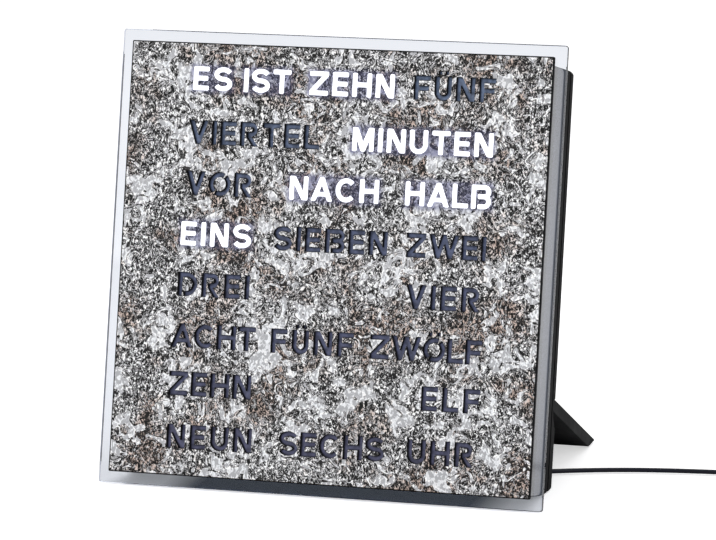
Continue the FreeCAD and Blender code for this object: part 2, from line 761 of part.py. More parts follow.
# ---- flap, pins, washers and pads ---------------------------------------------------------------
def make_flap():
    side = half_width - flap_side_gap
    outline = [(-heel_length, half_flap, heel_round), (-heel_length, -half_flap, heel_round),
               (sole_run(-half_flap, pad_thickness), -half_flap, 1.0),
               (sole_run(half_flap, pad_thickness), half_flap, flap_foot_round)]
    corners = [flap_point(s, n) + (radius,) for s, n, radius in outline]
    body = bar(corners, -side, side)
    slot_run = lug_radius + lug_clearance
    room = [flap_point(-30, -20), flap_point(slot_run, -20), flap_point(slot_run, 20), flap_point(-30, 20)]
    room = [point + (0,) for point in room]
    pins = []
    washers = []
    for centre in (-lug_position, lug_position):
        body = body.cut(bar(room, centre - slot_half, centre + slot_half))
        reach = slot_half + pin_engagement
        body = body.cut(prism(Vector(centre - reach, pivot_back, pivot_height), pin_radius + 0.02,
                              Vector(0, 1, 0), Vector(2 * reach, 0, 0)))
        pins.append(axle(pivot_back, pivot_height, pin_radius, centre - reach, centre + reach))
        for edge in (centre - slot_half, centre + slot_half - washer_thickness):
            ring = prism(Vector(edge, pivot_back, pivot_height), washer_radius, Vector(0, 1, 0),
                         Vector(washer_thickness, 0, 0))
            hole = prism(Vector(edge - 1, pivot_back, pivot_height), pin_radius + 0.05,
                         Vector(0, 1, 0), Vector(washer_thickness + 2, 0, 0))
            washers.append(ring.cut(hole))
    keep("stand_flap", body)
    keep("hinge_pins", pins)
    keep("friction_washers", washers)

    heel = table_depth(*flap_point(sole_run(-half_flap, pad_thickness), -half_flap))
    toe = table_depth(*tip)
    start = (heel + toe) / 2 - pad_width / 2 - centre_depth
    pads = []
    for centre in (-pad_position, pad_position):
        corners = [(centre - pad_length / 2, start, 1.5), (centre + pad_length / 2, start, 1.5),
                   (centre + pad_length / 2, start + pad_width, 1.5),
                   (centre - pad_length / 2, start + pad_width, 1.5)]
        wire = rounded_wire(corners, lambda x, y: Vector(x, y, 0))
        pads.append(Part.Face(wire).extrude(Vector(0, 0, pad_thickness)))
    keep("foot_pads", pads, upright=False)


# ---- plug, lead, coil and power supply ----------------------------------------------------------
# Route of the lead over the table, in the standing frame; its first point is the tip of the plug's
# strain relief and its last one is at the coil.
lead_route = [
    (65.0, -15.1, 7.8),
    (72.5, -14.4, 7.2),
    (81.5, -10.4, 5.0),
    (95.0, -1.8, 1.8),
    (115.0, 9.8, 1.2),
    (144.0, 19.0, 1.2),
    (178.0, 24.3, 1.2),
    (208.5, 26.7, 1.2),
]
# from the top of the coil to the strain relief of the power supply
tail_route = [
    (234.9, -1.2, 8.3),
    (235.1, -5.8, 8.2),
    (235.6, -10.4, 8.0),
]


def lead_tube(name, route):
    """A round lead along straight runs joined by tangent arcs."""
    points = [Vector(*point) for point in route]
    edges = []
    radii = []
    start = points[0]
    for before, here, after in zip(points, points[1:], points[2:]):
        back = before - here
        ahead = after - here
        turn = math.pi - back.getAngle(ahead)
        shorter = min(back.Length, ahead.Length)
        radius = 0.45 * shorter / math.tan(turn / 2)
        back.normalize()
        ahead.normalize()
        reach = radius * math.tan(turn / 2)
        bisector = (back + ahead).normalize()
        middle = here + bisector * (radius / math.cos(turn / 2) - radius)
        edges.append(Part.LineSegment(start, here + back * reach).toShape())
        edges.append(Part.Arc(here + back * reach, middle, here + ahead * reach).toShape())
        start = here + ahead * reach
        radii.append(radius)
    edges.append(Part.LineSegment(start, points[-1]).toShape())
    spine = Part.Wire(edges)
    direction = (points[1] - points[0]).normalize()
    ring = Part.Wire([Part.makeCircle(cord_radius, points[0], direction)])
    tube = spine.makePipeShell([ring], True, False)
    expected = math.pi * cord_radius ** 2 * spine.Length
    print(name, "radii", [round(radius, 1) for radius in radii], "length", round(spine.Length, 1),
          "volume share", round(tube.Volume / expected, 4))
    keep(name, tube, upright=False)


def make_plug():
    start = plinth_plane + 0.3
    centre = plinth_plane + plug_reach / 2 + 1.5
    barrel_front = plinth_plane - jack_bore_depth + 0.6
    barrel = peg(jack_position, jack_height, plug_barrel_radius, barrel_front, start + 1)
    hollow = peg(jack_position, jack_height, jack_pin_radius + 0.15, 0, start + 0.4)
    keep("plug_barrel", barrel.cut(hollow))
    half = plug_head / 2
    head = plate(jack_position - half, jack_position + half, jack_height - half + 0.6,
                 jack_height + half - 0.6, 1.5, start + 1, start + plug_reach)
    collar = peg(jack_position, jack_height, plug_collar_radius, start, start + 1.5)
    handle_end = jack_position + half + plug_handle_length
    handle = axle(centre, jack_height, plug_handle_radius, jack_position + half - 1, handle_end)
    keep("dc_plug", head.fuse([collar, handle]).cut(barrel))
    thick, thin = plug_relief_radii
    keep("plug_relief", taper(Vector(handle_end, centre, jack_height), thick, thin,
                              Vector(plug_relief_length, 0, 0)))


def make_coil():
    height = coil_layers * 2 * cord_radius
    place = Vector(coil_centre[0], coil_centre[1], 0)
    ring = Part.makeCylinder(coil_outer_radius, height, place)
    ring = ring.cut(Part.makeCylinder(coil_inner_radius, height, place))
    keep("cord_coil", ring, upright=False)


def make_adapter():
    width, length, height = adapter_size
    end = Vector(*tail_route[-1])
    top = end.y - adapter_relief_length
    body = Part.makeBox(width, length, height, Vector(end.x - width / 2, top - length, 0))
    uprights = [edge for edge in body.Edges if edge.BoundBox.ZLength > height / 2]
    body = body.makeFillet(adapter_round * 1.5, uprights)
    rim = [edge for edge in body.Edges if edge.BoundBox.ZMin > height - 0.01]
    body = body.makeChamfer(adapter_round / 2, rim)
    keep("adapter_body", body, upright=False)
    thick, thin = plug_relief_radii
    keep("adapter_relief", taper(end, thin, thick, Vector(0, -adapter_relief_length, 0)), upright=False)
    pins = []
    for side in (-0.5, 0.5):
        base = Vector(end.x + side * adapter_pin_spacing, top - length * 0.6, height)
        pins.append(Part.makeCylinder(adapter_pin_radius, adapter_pin_length, base))
    keep("adapter_pins", pins, upright=False)


make_glass()
make_panel()
make_tape_and_diffuser()
make_light_engine()
make_front_housing()
make_rear_cover()
make_cover_screws()
make_board_screws()
make_control_board()
make_buttons()
make_jack()
make_battery()
make_ribbon()
make_flap()
make_plug()
lead_tube("cord_lead", lead_route)
make_coil()
lead_tube("cord_tail", tail_route)
make_adapter()

os.makedirs("parts", exist_ok=True)
for name, shape in nodes.items():
    if not shape.isValid():
        print("not valid:", name)
    shape.exportStep("parts/" + name + ".step")
print(len(nodes), "nodes, centre depth", round(centre_depth, 3), "lift", round(lift, 3))
print("pivot", round(pivot_back, 3), round(pivot_height, 3))
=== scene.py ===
"""Looks of the word clock: stone-look panel with cut time words, glass, housing, lead and supply.

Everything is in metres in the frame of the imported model.  The clock's own pieces are drawn upright,
in millimetres: u to the right, v back from the front of the glass, w up from its lower edge, and
LEAN turns them into place.
"""
import math

import bmesh
import bpy
from mathutils import Matrix, Vector


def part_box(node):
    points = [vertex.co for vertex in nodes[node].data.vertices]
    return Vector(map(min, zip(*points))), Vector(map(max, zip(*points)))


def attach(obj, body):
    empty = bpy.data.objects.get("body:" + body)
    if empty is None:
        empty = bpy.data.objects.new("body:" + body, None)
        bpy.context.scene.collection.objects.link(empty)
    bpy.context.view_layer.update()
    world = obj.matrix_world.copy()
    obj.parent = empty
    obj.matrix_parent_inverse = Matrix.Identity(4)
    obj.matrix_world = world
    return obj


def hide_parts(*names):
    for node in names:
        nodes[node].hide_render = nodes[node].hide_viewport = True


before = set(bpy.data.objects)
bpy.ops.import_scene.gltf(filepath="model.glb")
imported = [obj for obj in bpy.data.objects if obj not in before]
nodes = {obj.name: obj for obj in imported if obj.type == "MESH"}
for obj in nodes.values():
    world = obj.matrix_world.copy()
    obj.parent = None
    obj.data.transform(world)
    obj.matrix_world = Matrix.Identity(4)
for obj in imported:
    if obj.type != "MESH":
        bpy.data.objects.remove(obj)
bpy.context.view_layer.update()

MM = 0.001

# ---- stance, as in the model ----
LEAN_ANGLE = math.radians(12.34)
CENTRE_DEPTH = 75.551
LIFT = 0.556
COSINE, SINE = math.cos(LEAN_ANGLE), math.sin(LEAN_ANGLE)
LEAN = Matrix(((MM, 0, 0, 0),
               (0, COSINE * MM, SINE * MM, -CENTRE_DEPTH * MM),
               (0, -SINE * MM, COSINE * MM, LIFT * MM),
               (0, 0, 0, 1)))

# ---- glass and panel, mm ----
GLASS_SIDE = 230.0
GLASS_THICKNESS = 3.0
GLASS_CORNER = 1.5
GROUND_EDGE = (0.04, 0.16)  # the frosted rim lies between these insets of the glass
GROUND_ARRIS = 0.45
PANEL_MARGIN = 6.0
PANEL_THICKNESS = 3.0
PANEL_CORNER = 0.6
PRINT_THICKNESS = 0.25
PRINT_INSET = 0.6  # the core shows round the print as a black line
FILM_THICKNESS = 0.12
FILM_GAP = 0.02
FILM_INSET = 1
# Painted light: how strongly the film behind the cuts and the middle of each unlit stroke glow.
FILM_PAINTED_LIGHT, CORE_PAINTED_LIGHT = 0.3, 1.0
# The sheet of painted glow round the lit letters lies between these depths in front of the print.
FRINGE_LAYER = (0.04, 0.02)  # from and to, in front of the print
LIGHT_LAYER = (0.12, 0.05)
# The flank of the housing: beyond this far from the middle, this deep.
FLANK_FROM = 107.6
FLANK_DEPTH = 27.0

# ---- camera, lights and stage ----
CAMERA_PLACE = (0.5502, -1.99595, 0.519)
CAMERA_LOOK = (-0.26028, 0.94507, -0.19776)
CAMERA_LENS = 207.8
CAMERA_RANGE = (0.05, 50)
LIGHT_AIM = (0, 0, 0.1)
LIGHTS = (  # name, place, size, power
    ("key", (-0.9, -1.1, 1.3), (1.2, 1.2), 14),
    ("fill", (1.2, -0.9, 0.8), (1.0, 1.0), 5),
    ("top", (0.1, 0.5, 1.5), (1.4, 1.0), 6),
)
WORLD_LEVEL = 0.55
FLOOR_SIZE = 12
FLOOR_PLACE = (0, 3.0, -0.0006)
FLOOR_WHITE = (0.86, 0.86, 0.87, 1)
FLOOR_LIFT = 0.55
CLOCK_MIDDLE = 0.006
# The floor seen through the glass: (metres, share that is bright) and (share of reach, level).
FLOOR_BEYOND = ((0.12, 0.0), (0.5, 1.0))
FLOOR_BESIDE = ((0.072, 0.0), (0.09, 0.88))
FLOOR_REACH = 2.0
FLOOR_LEVELS = ((0.1, 0.47), (0.36, 0.41), (0.56, 0.62))

# ---- words: row, text, left and right end in mm, lit ----
CAP_HEIGHT = 11.9
ROW_TOPS = (212.0, 185.0, 159.3, 133.8, 108.3, 82.5, 58.3, 31.7)
WORDS = (
    (0, "ES", -75.7, -55.4, True),
    (0, "IST", -49.2, -24.8, True),
    (0, "ZEHN", -15.0, 28.8, True),
    (0, "FÜNF", 38.8, 80.4, False),
    (1, "VIERTEL", -76.7, -8.3, False),
    (1, "MINUTEN", 8.8, 80.8, True),
    (2, "VOR", -76.7, -42.1, False),
    (2, "NACH", -22.3, 23.8, True),
    (2, "HALB", 37.5, 81.2, True),
    (3, "EINS", -77.7, -40.8, True),
    (3, "SIEBEN", -29.2, 29.6, False),
    (3, "ZWEI", 39.6, 80.0, False),
    (4, "DREI", -77.9, -40.4, False),
    (4, "VIER", 40.8, 78.3, False),
    (5, "ACHT", -80.0, -35.8, False),
    (5, "FÜNF", -27.5, 15.0, False),
    (5, "ZWÖLF", 23.8, 80.8, False),
    (6, "ZEHN", -79.6, -36.7, False),
    (6, "ELF", 51.5, 81.2, False),
    (7, "NEUN", -79.2, -34.8, False),
    (7, "SECHS", -20.4, 33.8, False),
    (7, "UHR", 45.8, 79.2, False),
)
LETTER_WIDTHS = {
    "A": 11.2, "B": 10.0, "C": 10.8, "D": 10.0, "E": 8.1, "F": 8.2, "H": 9.8, "I": 2.4, "L": 8.2,
    "M": 11.0, "N": 9.5, "O": 11.4, "Ö": 11.2, "R": 9.3, "S": 9.5, "T": 9.2, "U": 9.2, "Ü": 8.5,
    "V": 10.0, "W": 15.0, "Z": 9.7,
}
STROKE = 2.3
STENCIL_GAP = 1.0
DOT_SIZE = 1.6
DOT_LIFT = 1.0
HALO_REACH = 4.5
LETTER_RIM = 0.17  # growth of the cuts in the print: the core shows as a black line
LIT_GROWTH, LIT_CORNER = -0.06, 0.5
FRINGE_GROWTH, FRINGE_CORNER = 0.22, 0.9
CORE_SHRINK = 0.5
STROKE_MITRE, GROWTH_MITRE = 0.3, 0.6  # the least cosine at a corner
ROUND_SHARE = 0.45
STRAIGHT = math.radians(165)
WELD = 0.0005
CREASE = math.radians(35)

# ---- back of the clock, mm; profiles are (distance along the axis, radius) ----
SCREW_SEAT = 44.0
SCREW_HEAD = 2.9
SCREW_HEIGHTS = (70.0, 198.0)
SCREW_PROFILE = ((-18, 0.3), (-16.4, 1.4), (-0.01, 1.4), (0, SCREW_HEAD), (0.7, SCREW_HEAD),
                 (1.3, 2.6), (1.75, 1.9), (1.98, 0.9), (2.0, 0.4))
SLOT_ARM = ((1.6, -0.36), (1.6, 0.36), (0.36, 0.36))
SLOT_LEVELS = ((0.8, 0.5), (2.4, 1.0))  # height, size
PLINTH = 50.0
BUTTON_PLACES = (-14.0, 0.0, 14.0)
BUTTON_HEIGHT = 26.0
BUTTON_PROFILE = ((-5.0, 1.4), (-3.5, 1.5), (-3.4, 3.9), (-2.5, 3.9), (-2.45, 2.9), (0.55, 2.9),
                  (0.85, 2.75), (1.0, 2.4), (0.92, 2.0), (0.78, 1.2), (0.72, 0.3))
JACK_PLACE = (40.0, 20.0)
PLUG_COLLAR = ((0.3, 4.1), (0.6, 4.6), (1.5, 4.6), (1.8, 4.3), (2.3, 3.4))
PLUG_HALF = (5.0, 4.4)
PLUG_CORNER = 1.5
PLUG_LEVELS = ((1.2, 0.6), (1.6, 0), (10.4, 0), (11.3, 0.4), (11.75, 1.2))  # height, inset
HANDLE_HEIGHT = 7.5
HANDLE_FROM = 4.0
HANDLE_RADIUS = 3.8
HANDLE_END = ((12.2, 3.7), (12.9, 3.2))
GROOVE_STARTS = (3.2, 5.1, 7.0, 8.9)
GROOVE_PROFILE = ((0, HANDLE_RADIUS), (0.15, 3.4), (0.75, 3.4), (0.9, HANDLE_RADIUS))
RELIEF_FROM = 17.0
RELIEF_RADII = (2.5, 1.6)
RELIEF_RIBS = 5
PLUG_RELIEF, SUPPLY_RELIEF = 8, 9  # lengths
RELIEF_END = 0.92
RIB_PROFILE = ((0.15, 1.0), (0.62, 1.0), (0.7, 0.8), (0.92, 0.8))  # share, size

# ---- plug-in supply, mm; levels are (height, inset) ----
SUPPLY_CORNER = 4.5
SUPPLY_LEVELS = ((0, 1.4), (0.35, 0.6), (1.3, 0), (12.5, 0), (12.65, 0.4), (13.25, 0.4), (13.4, 0),
                 (24.5, 0), (25.5, 0.45), (26, 1.5))
FACE_SIZE = (33, 14)
FACE_CORNER = 6.5
FACE_LEVELS = ((25.8, 0), (26.5, 0), (26.9, 0.4))
PIN_RADIUS = 2.0
SLEEVE_FROM, PIN_FROM = 26.5, 35
SLEEVE_PROFILE = ((0, 1.97), (9.2, 1.97), (9.5, 1.8))
PIN_PROFILE = ((0, 1.75), (0.9, 1.75), (1.0, PIN_RADIUS), (8.4, PIN_RADIUS), (9.3, 1.6), (9.8, 0.9),
               (10, 0.3))
FINE = 28  # segments of a small turned piece

# ---- lead ----
LEAD_RADIUS = 0.0012
LEAD_ROUTE = [
    (0.065, -0.0151, 0.0078), (0.0725, -0.0144, 0.0072), (0.0815, -0.0104, 0.005),
    (0.095, -0.0018, 0.0018), (0.115, 0.0098, 0.0012), (0.144, 0.019, 0.0012),
    (0.178, 0.0243, 0.0012), (0.2085, 0.0267, 0.0012),
]
TAIL_ROUTE = [
    (0.2349, -0.0012, 0.0083), (0.2351, -0.0058, 0.0082), (0.2356, -0.0104, 0.008),
]
COIL_CENTRE = (0.216, 0.0074)
COIL_OUTER = 0.0194
COIL_INNER = 0.0098
COIL_LAYERS = 4
COIL_TURNS = 4
COIL_STEPS = 16
CURVE_PULL = 0.75  # the curve runs inside its points by this power of a step's cosine
TIE_ANGLE = 215
TIE_HALF_WIDTH = 1.5
TIE_WALL = 0.4
TIE_CLEAR = 1.35
TIE_FOOT = 0.3
TIE_CORNER = 1.2
TWIST_STEPS = 14
TWIST_STEP = 0.5
TWIST_RADII = (0.5, 0.75)
TWIST_FROM = (0.2, -1.5)  # out and up from the tie's outer top edge
TWIST_SLOPE = (0.75, 0.66)


# ---- node helpers ----
class Nodes:
    """The nodes of a material or a world, with short calls for them."""

    def __init__(self, tree):
        self.tree = tree

    def add(self, kind, **settings):
        node = self.tree.nodes.new("ShaderNode" + kind)
        for key, value in settings.items():
            setattr(node, key, value)
        return node

    def give(self, socket, value):
        """Put a constant on a socket, or link a node's output to it."""
        if isinstance(value, bpy.types.NodeSocket):
            self.tree.links.new(value, socket)
        else:
            socket.default_value = value

    def fill(self, node, **values):
        """Give values to a node's sockets by their names."""
        for key, value in values.items():
            self.give(node.inputs[key.replace("_", " ")], value)

    def coordinates(self, stretch=(1, 1, 1)):
        """Coordinates (u, v, w) of the upright drawing in mm, stretched."""
        upright, scaled = self.add("Mapping"), self.add("Mapping")
        depth, lift = CENTRE_DEPTH * MM, LIFT * MM
        self.fill(upright, Vector=self.add("TexCoord").outputs["Object"],
                  Rotation=(LEAN_ANGLE, 0, 0),
                  Location=(0, depth * COSINE + lift * SINE, depth * SINE - lift * COSINE))
        self.fill(scaled, Scale=[share / MM for share in stretch], Vector=upright.outputs[0])
        return scaled.outputs[0]

    def split(self, vector):
        """The three numbers of a vector."""
        node = self.add("SeparateXYZ")
        self.give(node.inputs[0], vector)
        return tuple(node.outputs)

    def noise(self, vector, scale, detail=2.0, roughness=0.5, distortion=0.0):
        node = self.add("TexNoise")
        self.fill(node, Vector=vector, Scale=scale, Detail=detail, Roughness=roughness,
                  Distortion=distortion)
        return node.outputs["Fac"]

    def ridge(self, value, width):
        """1 on the lines where a noise crosses its middle, 0 off them."""
        away = self.math("ABSOLUTE", self.math("SUBTRACT", value, 0.5))
        return self.math("SUBTRACT", 1.5, self.math("DIVIDE", away, width), clamp=True)

    def swing(self, noise, amount, base):
        """The base, moved up and down by a noise about its middle."""
        return self.math("MULTIPLY_ADD", self.math("SUBTRACT", noise, 0.5), amount, base)

    def math(self, kind, first, second=None, third=None, clamp=False):
        node = self.add("Math", operation=kind, use_clamp=clamp)
        for socket, value in zip(node.inputs, (first, second, third)):
            if value is not None:
                self.give(socket, value)
        return node.outputs[0]

    def ramp(self, factor, stops, kind="LINEAR"):
        """Stops are (position, colour); a colour may be one grey number."""
        node = self.add("ValToRGB")
        node.color_ramp.interpolation = kind
        elements = node.color_ramp.elements
        while len(elements) < len(stops):
            elements.new(0.5)
        for element, (position, colour) in zip(elements, stops):
            element.position = position
            element.color = colour if isinstance(colour, tuple) else (colour, colour, colour, 1)
        self.give(node.inputs[0], factor)
        return node.outputs["Color"]

    def mix(self, factor, first, second, blend="MIX"):
        node = self.add("Mix", data_type="RGBA", blend_type=blend)
        for index, value in ((0, factor), (6, first), (7, second)):
            self.give(node.inputs[index], value)
        return node.outputs[2]

    def tint(self, first, second):
        return self.mix(1.0, first, second, "MULTIPLY")


class Look(Nodes):
    """A material under construction."""

    def __init__(self, name, **values):
        self.material = bpy.data.materials.new(name)
        self.material.use_nodes = True
        super().__init__(self.material.node_tree)
        self.tree.nodes.clear()
        self.surface = self.add("BsdfPrincipled")
        self.fill(self.add("OutputMaterial"), Surface=self.surface.outputs[0])
        self.feed(**values)

    def feed(self, **values):
        """Give values to sockets of the surface."""
        self.fill(self.surface, **values)

    def bump(self, height, strength, distance):
        node = self.add("Bump")
        self.fill(node, Height=height, Strength=strength, Distance=distance)
        self.feed(Normal=node.outputs[0])


def srgb(red, green, blue):
    """A colour given as 0-255 screen values."""
    def linear(value):
        value /= 255
        return value / 12.92 if value <= 0.04045 else ((value + 0.055) / 1.055) ** 2.4
    return (linear(red), linear(green), linear(blue), 1)


# ---- outlines of the letters ----
def arc(x, y, wide, high, start, end, steps):
    """Points of an ellipse's arc about (x, y) from start to end, in degrees."""
    angles = [math.radians(start + (end - start) * step / steps) for step in range(steps + 1)]
    return [(x + wide * math.cos(angle), y + high * math.sin(angle)) for angle in angles]


def mitre(into, out, reach, least):
    """The step from a corner between two directions to the line a reach to their left."""
    normal = Vector((-into.y - out.y, into.x + out.x))
    if normal.length < 1e-6:
        normal = Vector((-into.y, into.x))
    normal.normalize()
    return normal * (reach / max(normal.dot(Vector((-into.y, into.x))), least))


def sides(path, width):
    """The lines half a width to the left and right of a path, with mitred corners."""
    left, right = [], []
    for index, (x, y) in enumerate(path):
        before = path[max(index - 1, 0)]
        after = path[min(index + 1, len(path) - 1)]
        into = Vector((x - before[0], y - before[1]))
        out = Vector((after[0] - x, after[1] - y))
        into = out if into.length < 1e-9 else into
        out = into if out.length < 1e-9 else out
        step = mitre(into.normalized(), out.normalized(), width / 2, STROKE_MITRE)
        left.append((x + step.x, y + step.y))
        right.append((x - step.x, y - step.y))
    return left, right


def band(path, width):
    left, right = sides(path, width)
    return left + right[::-1]


def mirrored(points, width):
    return [(width - x, y) for x, y in points][::-1]


def symmetric(points, width):
    return points + mirrored(points, width)


def letter_a(w, h, t):
    flat = t * 0.95
    slope = (w / 2 - flat / 2) / h
    foot = t * 1.1
    low, high = h * 0.2, h * 0.2 + t * 0.9
    arch = [(w - foot, 0), (w - foot - low * slope, low)]
    outer = symmetric([(0, 0), (w / 2 - flat / 2, h)], w) + symmetric(arch, w)
    return [outer, symmetric([(foot + high * slope, high)], w) + [(w / 2, (w / 2 - foot) / slope)]]


def letter_b(w, h, t):
    upper, lower = (h - t) * 0.24, (h - t) * 0.26
    middle = h - t / 2 - 2 * upper
    lower_x = w - lower - t / 2
    outer_low = math.sqrt((lower + t / 2) ** 2 - lower ** 2)
    outer_high = math.sqrt((upper + t / 2) ** 2 - upper ** 2)
    upper_x = lower_x + outer_low - outer_high
    gap = t + STENCIL_GAP
    top_angle = math.degrees(math.asin(upper / (upper + t / 2)))
    low_angle = math.degrees(math.asin(lower / (lower + t / 2)))
    points = [(0, 0), (0, h)]
    points += arc(upper_x, middle + upper, upper + t / 2, upper + t / 2, 90, -top_angle, 10)
    points += arc(lower_x, middle - lower, lower + t / 2, lower + t / 2, low_angle, -90, 10)[1:]
    points += [(gap, 0), (gap, t)]
    points += arc(lower_x, middle - lower, lower - t / 2, lower - t / 2, -90, 90, 10)
    points += [(gap, middle - t / 2), (gap, middle + t / 2)]
    points += arc(upper_x, middle + upper, upper - t / 2, upper - t / 2, -90, 90, 10)
    return [points + [(t, h - t), (t, 0)]]


def letter_c(w, h, t):
    return [band(arc(w / 2, h / 2, (w - t) / 2, (h - t) / 2, 43, 317, 30), t)]


def letter_d(w, h, t):
    radius = min((h - t) / 2, w - t * 1.5)
    path = [(t / 2, 0), (t / 2, h - t / 2)]
    path += arc(w - t / 2 - radius, h / 2, radius, (h - t) / 2, 90, -90, 22)
    return [band(path + [(t + STENCIL_GAP, t / 2)], t)]


def comb(h, t, bars):
    """A stem with bars to the right; bars are (middle height, reach), the first at the top."""
    points = []
    for middle, reach in bars:
        points += [(t, middle + t / 2), (reach, middle + t / 2), (reach, middle - t / 2),
                   (t, middle - t / 2)]
    points[0] = (0, h)
    if bars[-1][0] > t:
        return [points + [(t, 0), (0, 0)]]
    return [points[:-1] + [(0, 0)]]


def letter_e(w, h, t):
    return comb(h, t, ((h - t / 2, w), (h * 0.51, w * 0.94), (t / 2, w)))


def letter_f(w, h, t):
    return comb(h, t, ((h - t / 2, w), (h * 0.48, w * 0.92)))


def letter_h(w, h, t):
    low, high = h * 0.51 - t / 2, h * 0.51 + t / 2
    upper = symmetric([(0, 0), (0, h), (t, h), (t, high)], w)
    return [upper + symmetric([(w - t, 0), (w - t, low)], w)]


def letter_i(w, h, t):
    return [symmetric([(w / 2 - t / 2, 0), (w / 2 - t / 2, h)], w)]


def letter_l(w, h, t):
    return [[(0, 0), (0, h), (t, h), (t, t), (w, t), (w, 0)]]


def letter_m(w, h, t):
    wide, flat = t * 1.2, t * 0.9
    slope = (w / 2 - flat / 2) / h
    left = [(0, 0), (0, h), (wide, h)]
    inner = symmetric([(w - t, 0), (w - t, h - t / slope), (w / 2 + flat / 2, 0)], w)
    return [left + [(w / 2, h - (w / 2 - wide) / slope)] + mirrored(left, w) + inner]


def letter_n(w, h, t):
    wide = t * 1.25
    drop = h * t / (w - wide)
    return [[(0, 0), (0, h), (wide, h), (w - t, drop), (w - t, h), (w, h), (w, 0), (w - wide, 0),
             (t, h - drop), (t, 0)]]


def letter_o(w, h, t):
    shape = (w / 2, h / 2, (w - t) / 2, (h - t) / 2)
    return [band(arc(*shape, 62, 230, 24), t), band(arc(*shape, 242, 410, 24), t)]


def letter_r(w, h, t):
    radius = (h - t) * 0.26
    bar = h - t / 2 - 2 * radius
    path = [(t / 2, 0), (t / 2, h - t / 2)]
    path += arc(w * 0.94 - t / 2 - radius, bar + radius, radius, radius, 90, -90, 14)
    left, right = sides(path + [(t + STENCIL_GAP, bar)], t)
    low = bar - t / 2
    leg = [(w * 0.66, low), (w, 0), (w - t * 1.25, 0), (w * 0.66 - t * 1.2, low)]
    return [left[:-1] + leg + left[-1:] + right[::-1]]


def letter_s(w, h, t):
    radius_y = (h - t) / 4
    radius_x = (w - t) / 2
    path = arc(w / 2, h - t / 2 - radius_y, radius_x, radius_y, 22, 270, 22)
    path += arc(w / 2, t / 2 + radius_y, radius_x, radius_y, 90, -158, 22)[1:]
    return [band(path, t)]


def letter_t(w, h, t):
    return [symmetric([(w / 2 - t / 2, 0), (w / 2 - t / 2, h - t), (0, h - t), (0, h)], w)]


def letter_u(w, h, t):
    radius = (w - t) / 2
    bow = arc(w / 2, t / 2 + radius, radius, radius, 180, 360, 20)
    return [band([(t / 2, h), *bow, (w - t / 2, h)], t)]


def letter_v(w, h, t):
    wide, flat = t * 1.12, t * 0.95
    slope = (w / 2 - flat / 2) / h
    left, foot = [(0, h), (wide, h)], symmetric([(w / 2 + flat / 2, 0)], w)
    return [left + [(w / 2, h - (w / 2 - wide) / slope)] + mirrored(left, w) + foot]


def letter_w(w, h, t):
    wide, flat = t * 1.08, t * 0.95
    half = w / 2
    slope = (half + wide - 1.5 * flat) / (2 * h)
    foot = h * slope + flat
    notch = h - (half - flat / 2 - wide) / (2 * slope)
    left = [(0, h), (wide, h), ((half - flat / 2 + wide) / 2, notch), (half - flat / 2, h)]
    low = [(half, h - (wide - flat / 2) / slope), (foot, 0), (foot - flat, 0)]
    return [left + mirrored(left, w) + [(w - foot + flat, 0), (w - foot, 0)] + low]


def letter_z(w, h, t):
    wide = t * 1.35
    return [[(0, 0), (0, t), (w - wide, h - t), (0, h - t), (0, h), (w, h), (w, h - t), (wide, t),
             (w, t), (w, 0)]]


LETTERS = dict(zip("ABCDEFHILMNORSTUVWZ", (
    letter_a, letter_b, letter_c, letter_d, letter_e, letter_f, letter_h, letter_i, letter_l,
    letter_m, letter_n, letter_o, letter_r, letter_s, letter_t, letter_u, letter_v, letter_w,
    letter_z)))
DOTTED = {"Ö": "O", "Ü": "U"}


def letter_contours(letter, width):
    """Contours of one letter from (0, 0), with its two dots where it has them."""
    contours = LETTERS[DOTTED.get(letter, letter)](width, CAP_HEIGHT, STROKE)
    if letter in DOTTED:
        low = CAP_HEIGHT + DOT_LIFT
        for middle in (width * 0.3, width * 0.7):
            half = DOT_SIZE / 2
            contours.append([(middle - half, low), (middle + half, low),
                             (middle + half, low + DOT_SIZE), (middle - half, low + DOT_SIZE)])
    return contours


def word_contours(word):
    """Contours of a word in panel millimetres; its letters share the room between its ends."""
    row, text, left, right, _ = word
    widths = [LETTER_WIDTHS[letter] for letter in text]
    gap = (right - left - sum(widths)) / (len(text) - 1)
    base = ROW_TOPS[row] - CAP_HEIGHT
    contours = []
    for letter, width in zip(text, widths):
        contours += [[(left + x, base + y) for x, y in contour]
                     for contour in letter_contours(letter, width)]
        left += width + gap
    return contours


def inside(point, outline):
    """Whether a point lies in a closed outline."""
    x, y = point
    crossed = False
    for (x1, y1), (x2, y2) in zip(outline, outline[1:] + outline[:1]):
        if (y1 > y) != (y2 > y) and x < x1 + (y - y1) * (x2 - x1) / (y2 - y1):
            crossed = not crossed
    return crossed


def grown(points, amount):
    """A closed outline moved outwards by an amount, with its mitres held short."""
    count = len(points)
    area = sum(points[index - 1][0] * points[index][1] - points[index][0] * points[index - 1][1]
               for index in range(count))
    side = amount if area > 0 else -amount
    result = []
    for index in range(count):
        here = Vector(points[index])
        into = (here - Vector(points[index - 1])).normalized()
        out = (Vector(points[(index + 1) % count]) - here).normalized()
        result.append(tuple(here - mitre(into, out, side, GROWTH_MITRE)))
    return result


def grown_word(word, amount, corner=0.0):
    """The cuts of a word made wider by an amount; the islands in them get smaller."""
    contours = word_contours(word)
    result = []
    for contour in contours:
        island = any(inside(contour[0], other) for other in contours if other is not contour)
        changed = grown(contour, -amount if island else amount)
        result.append(rounded(changed, corner) if corner else changed)
    return result


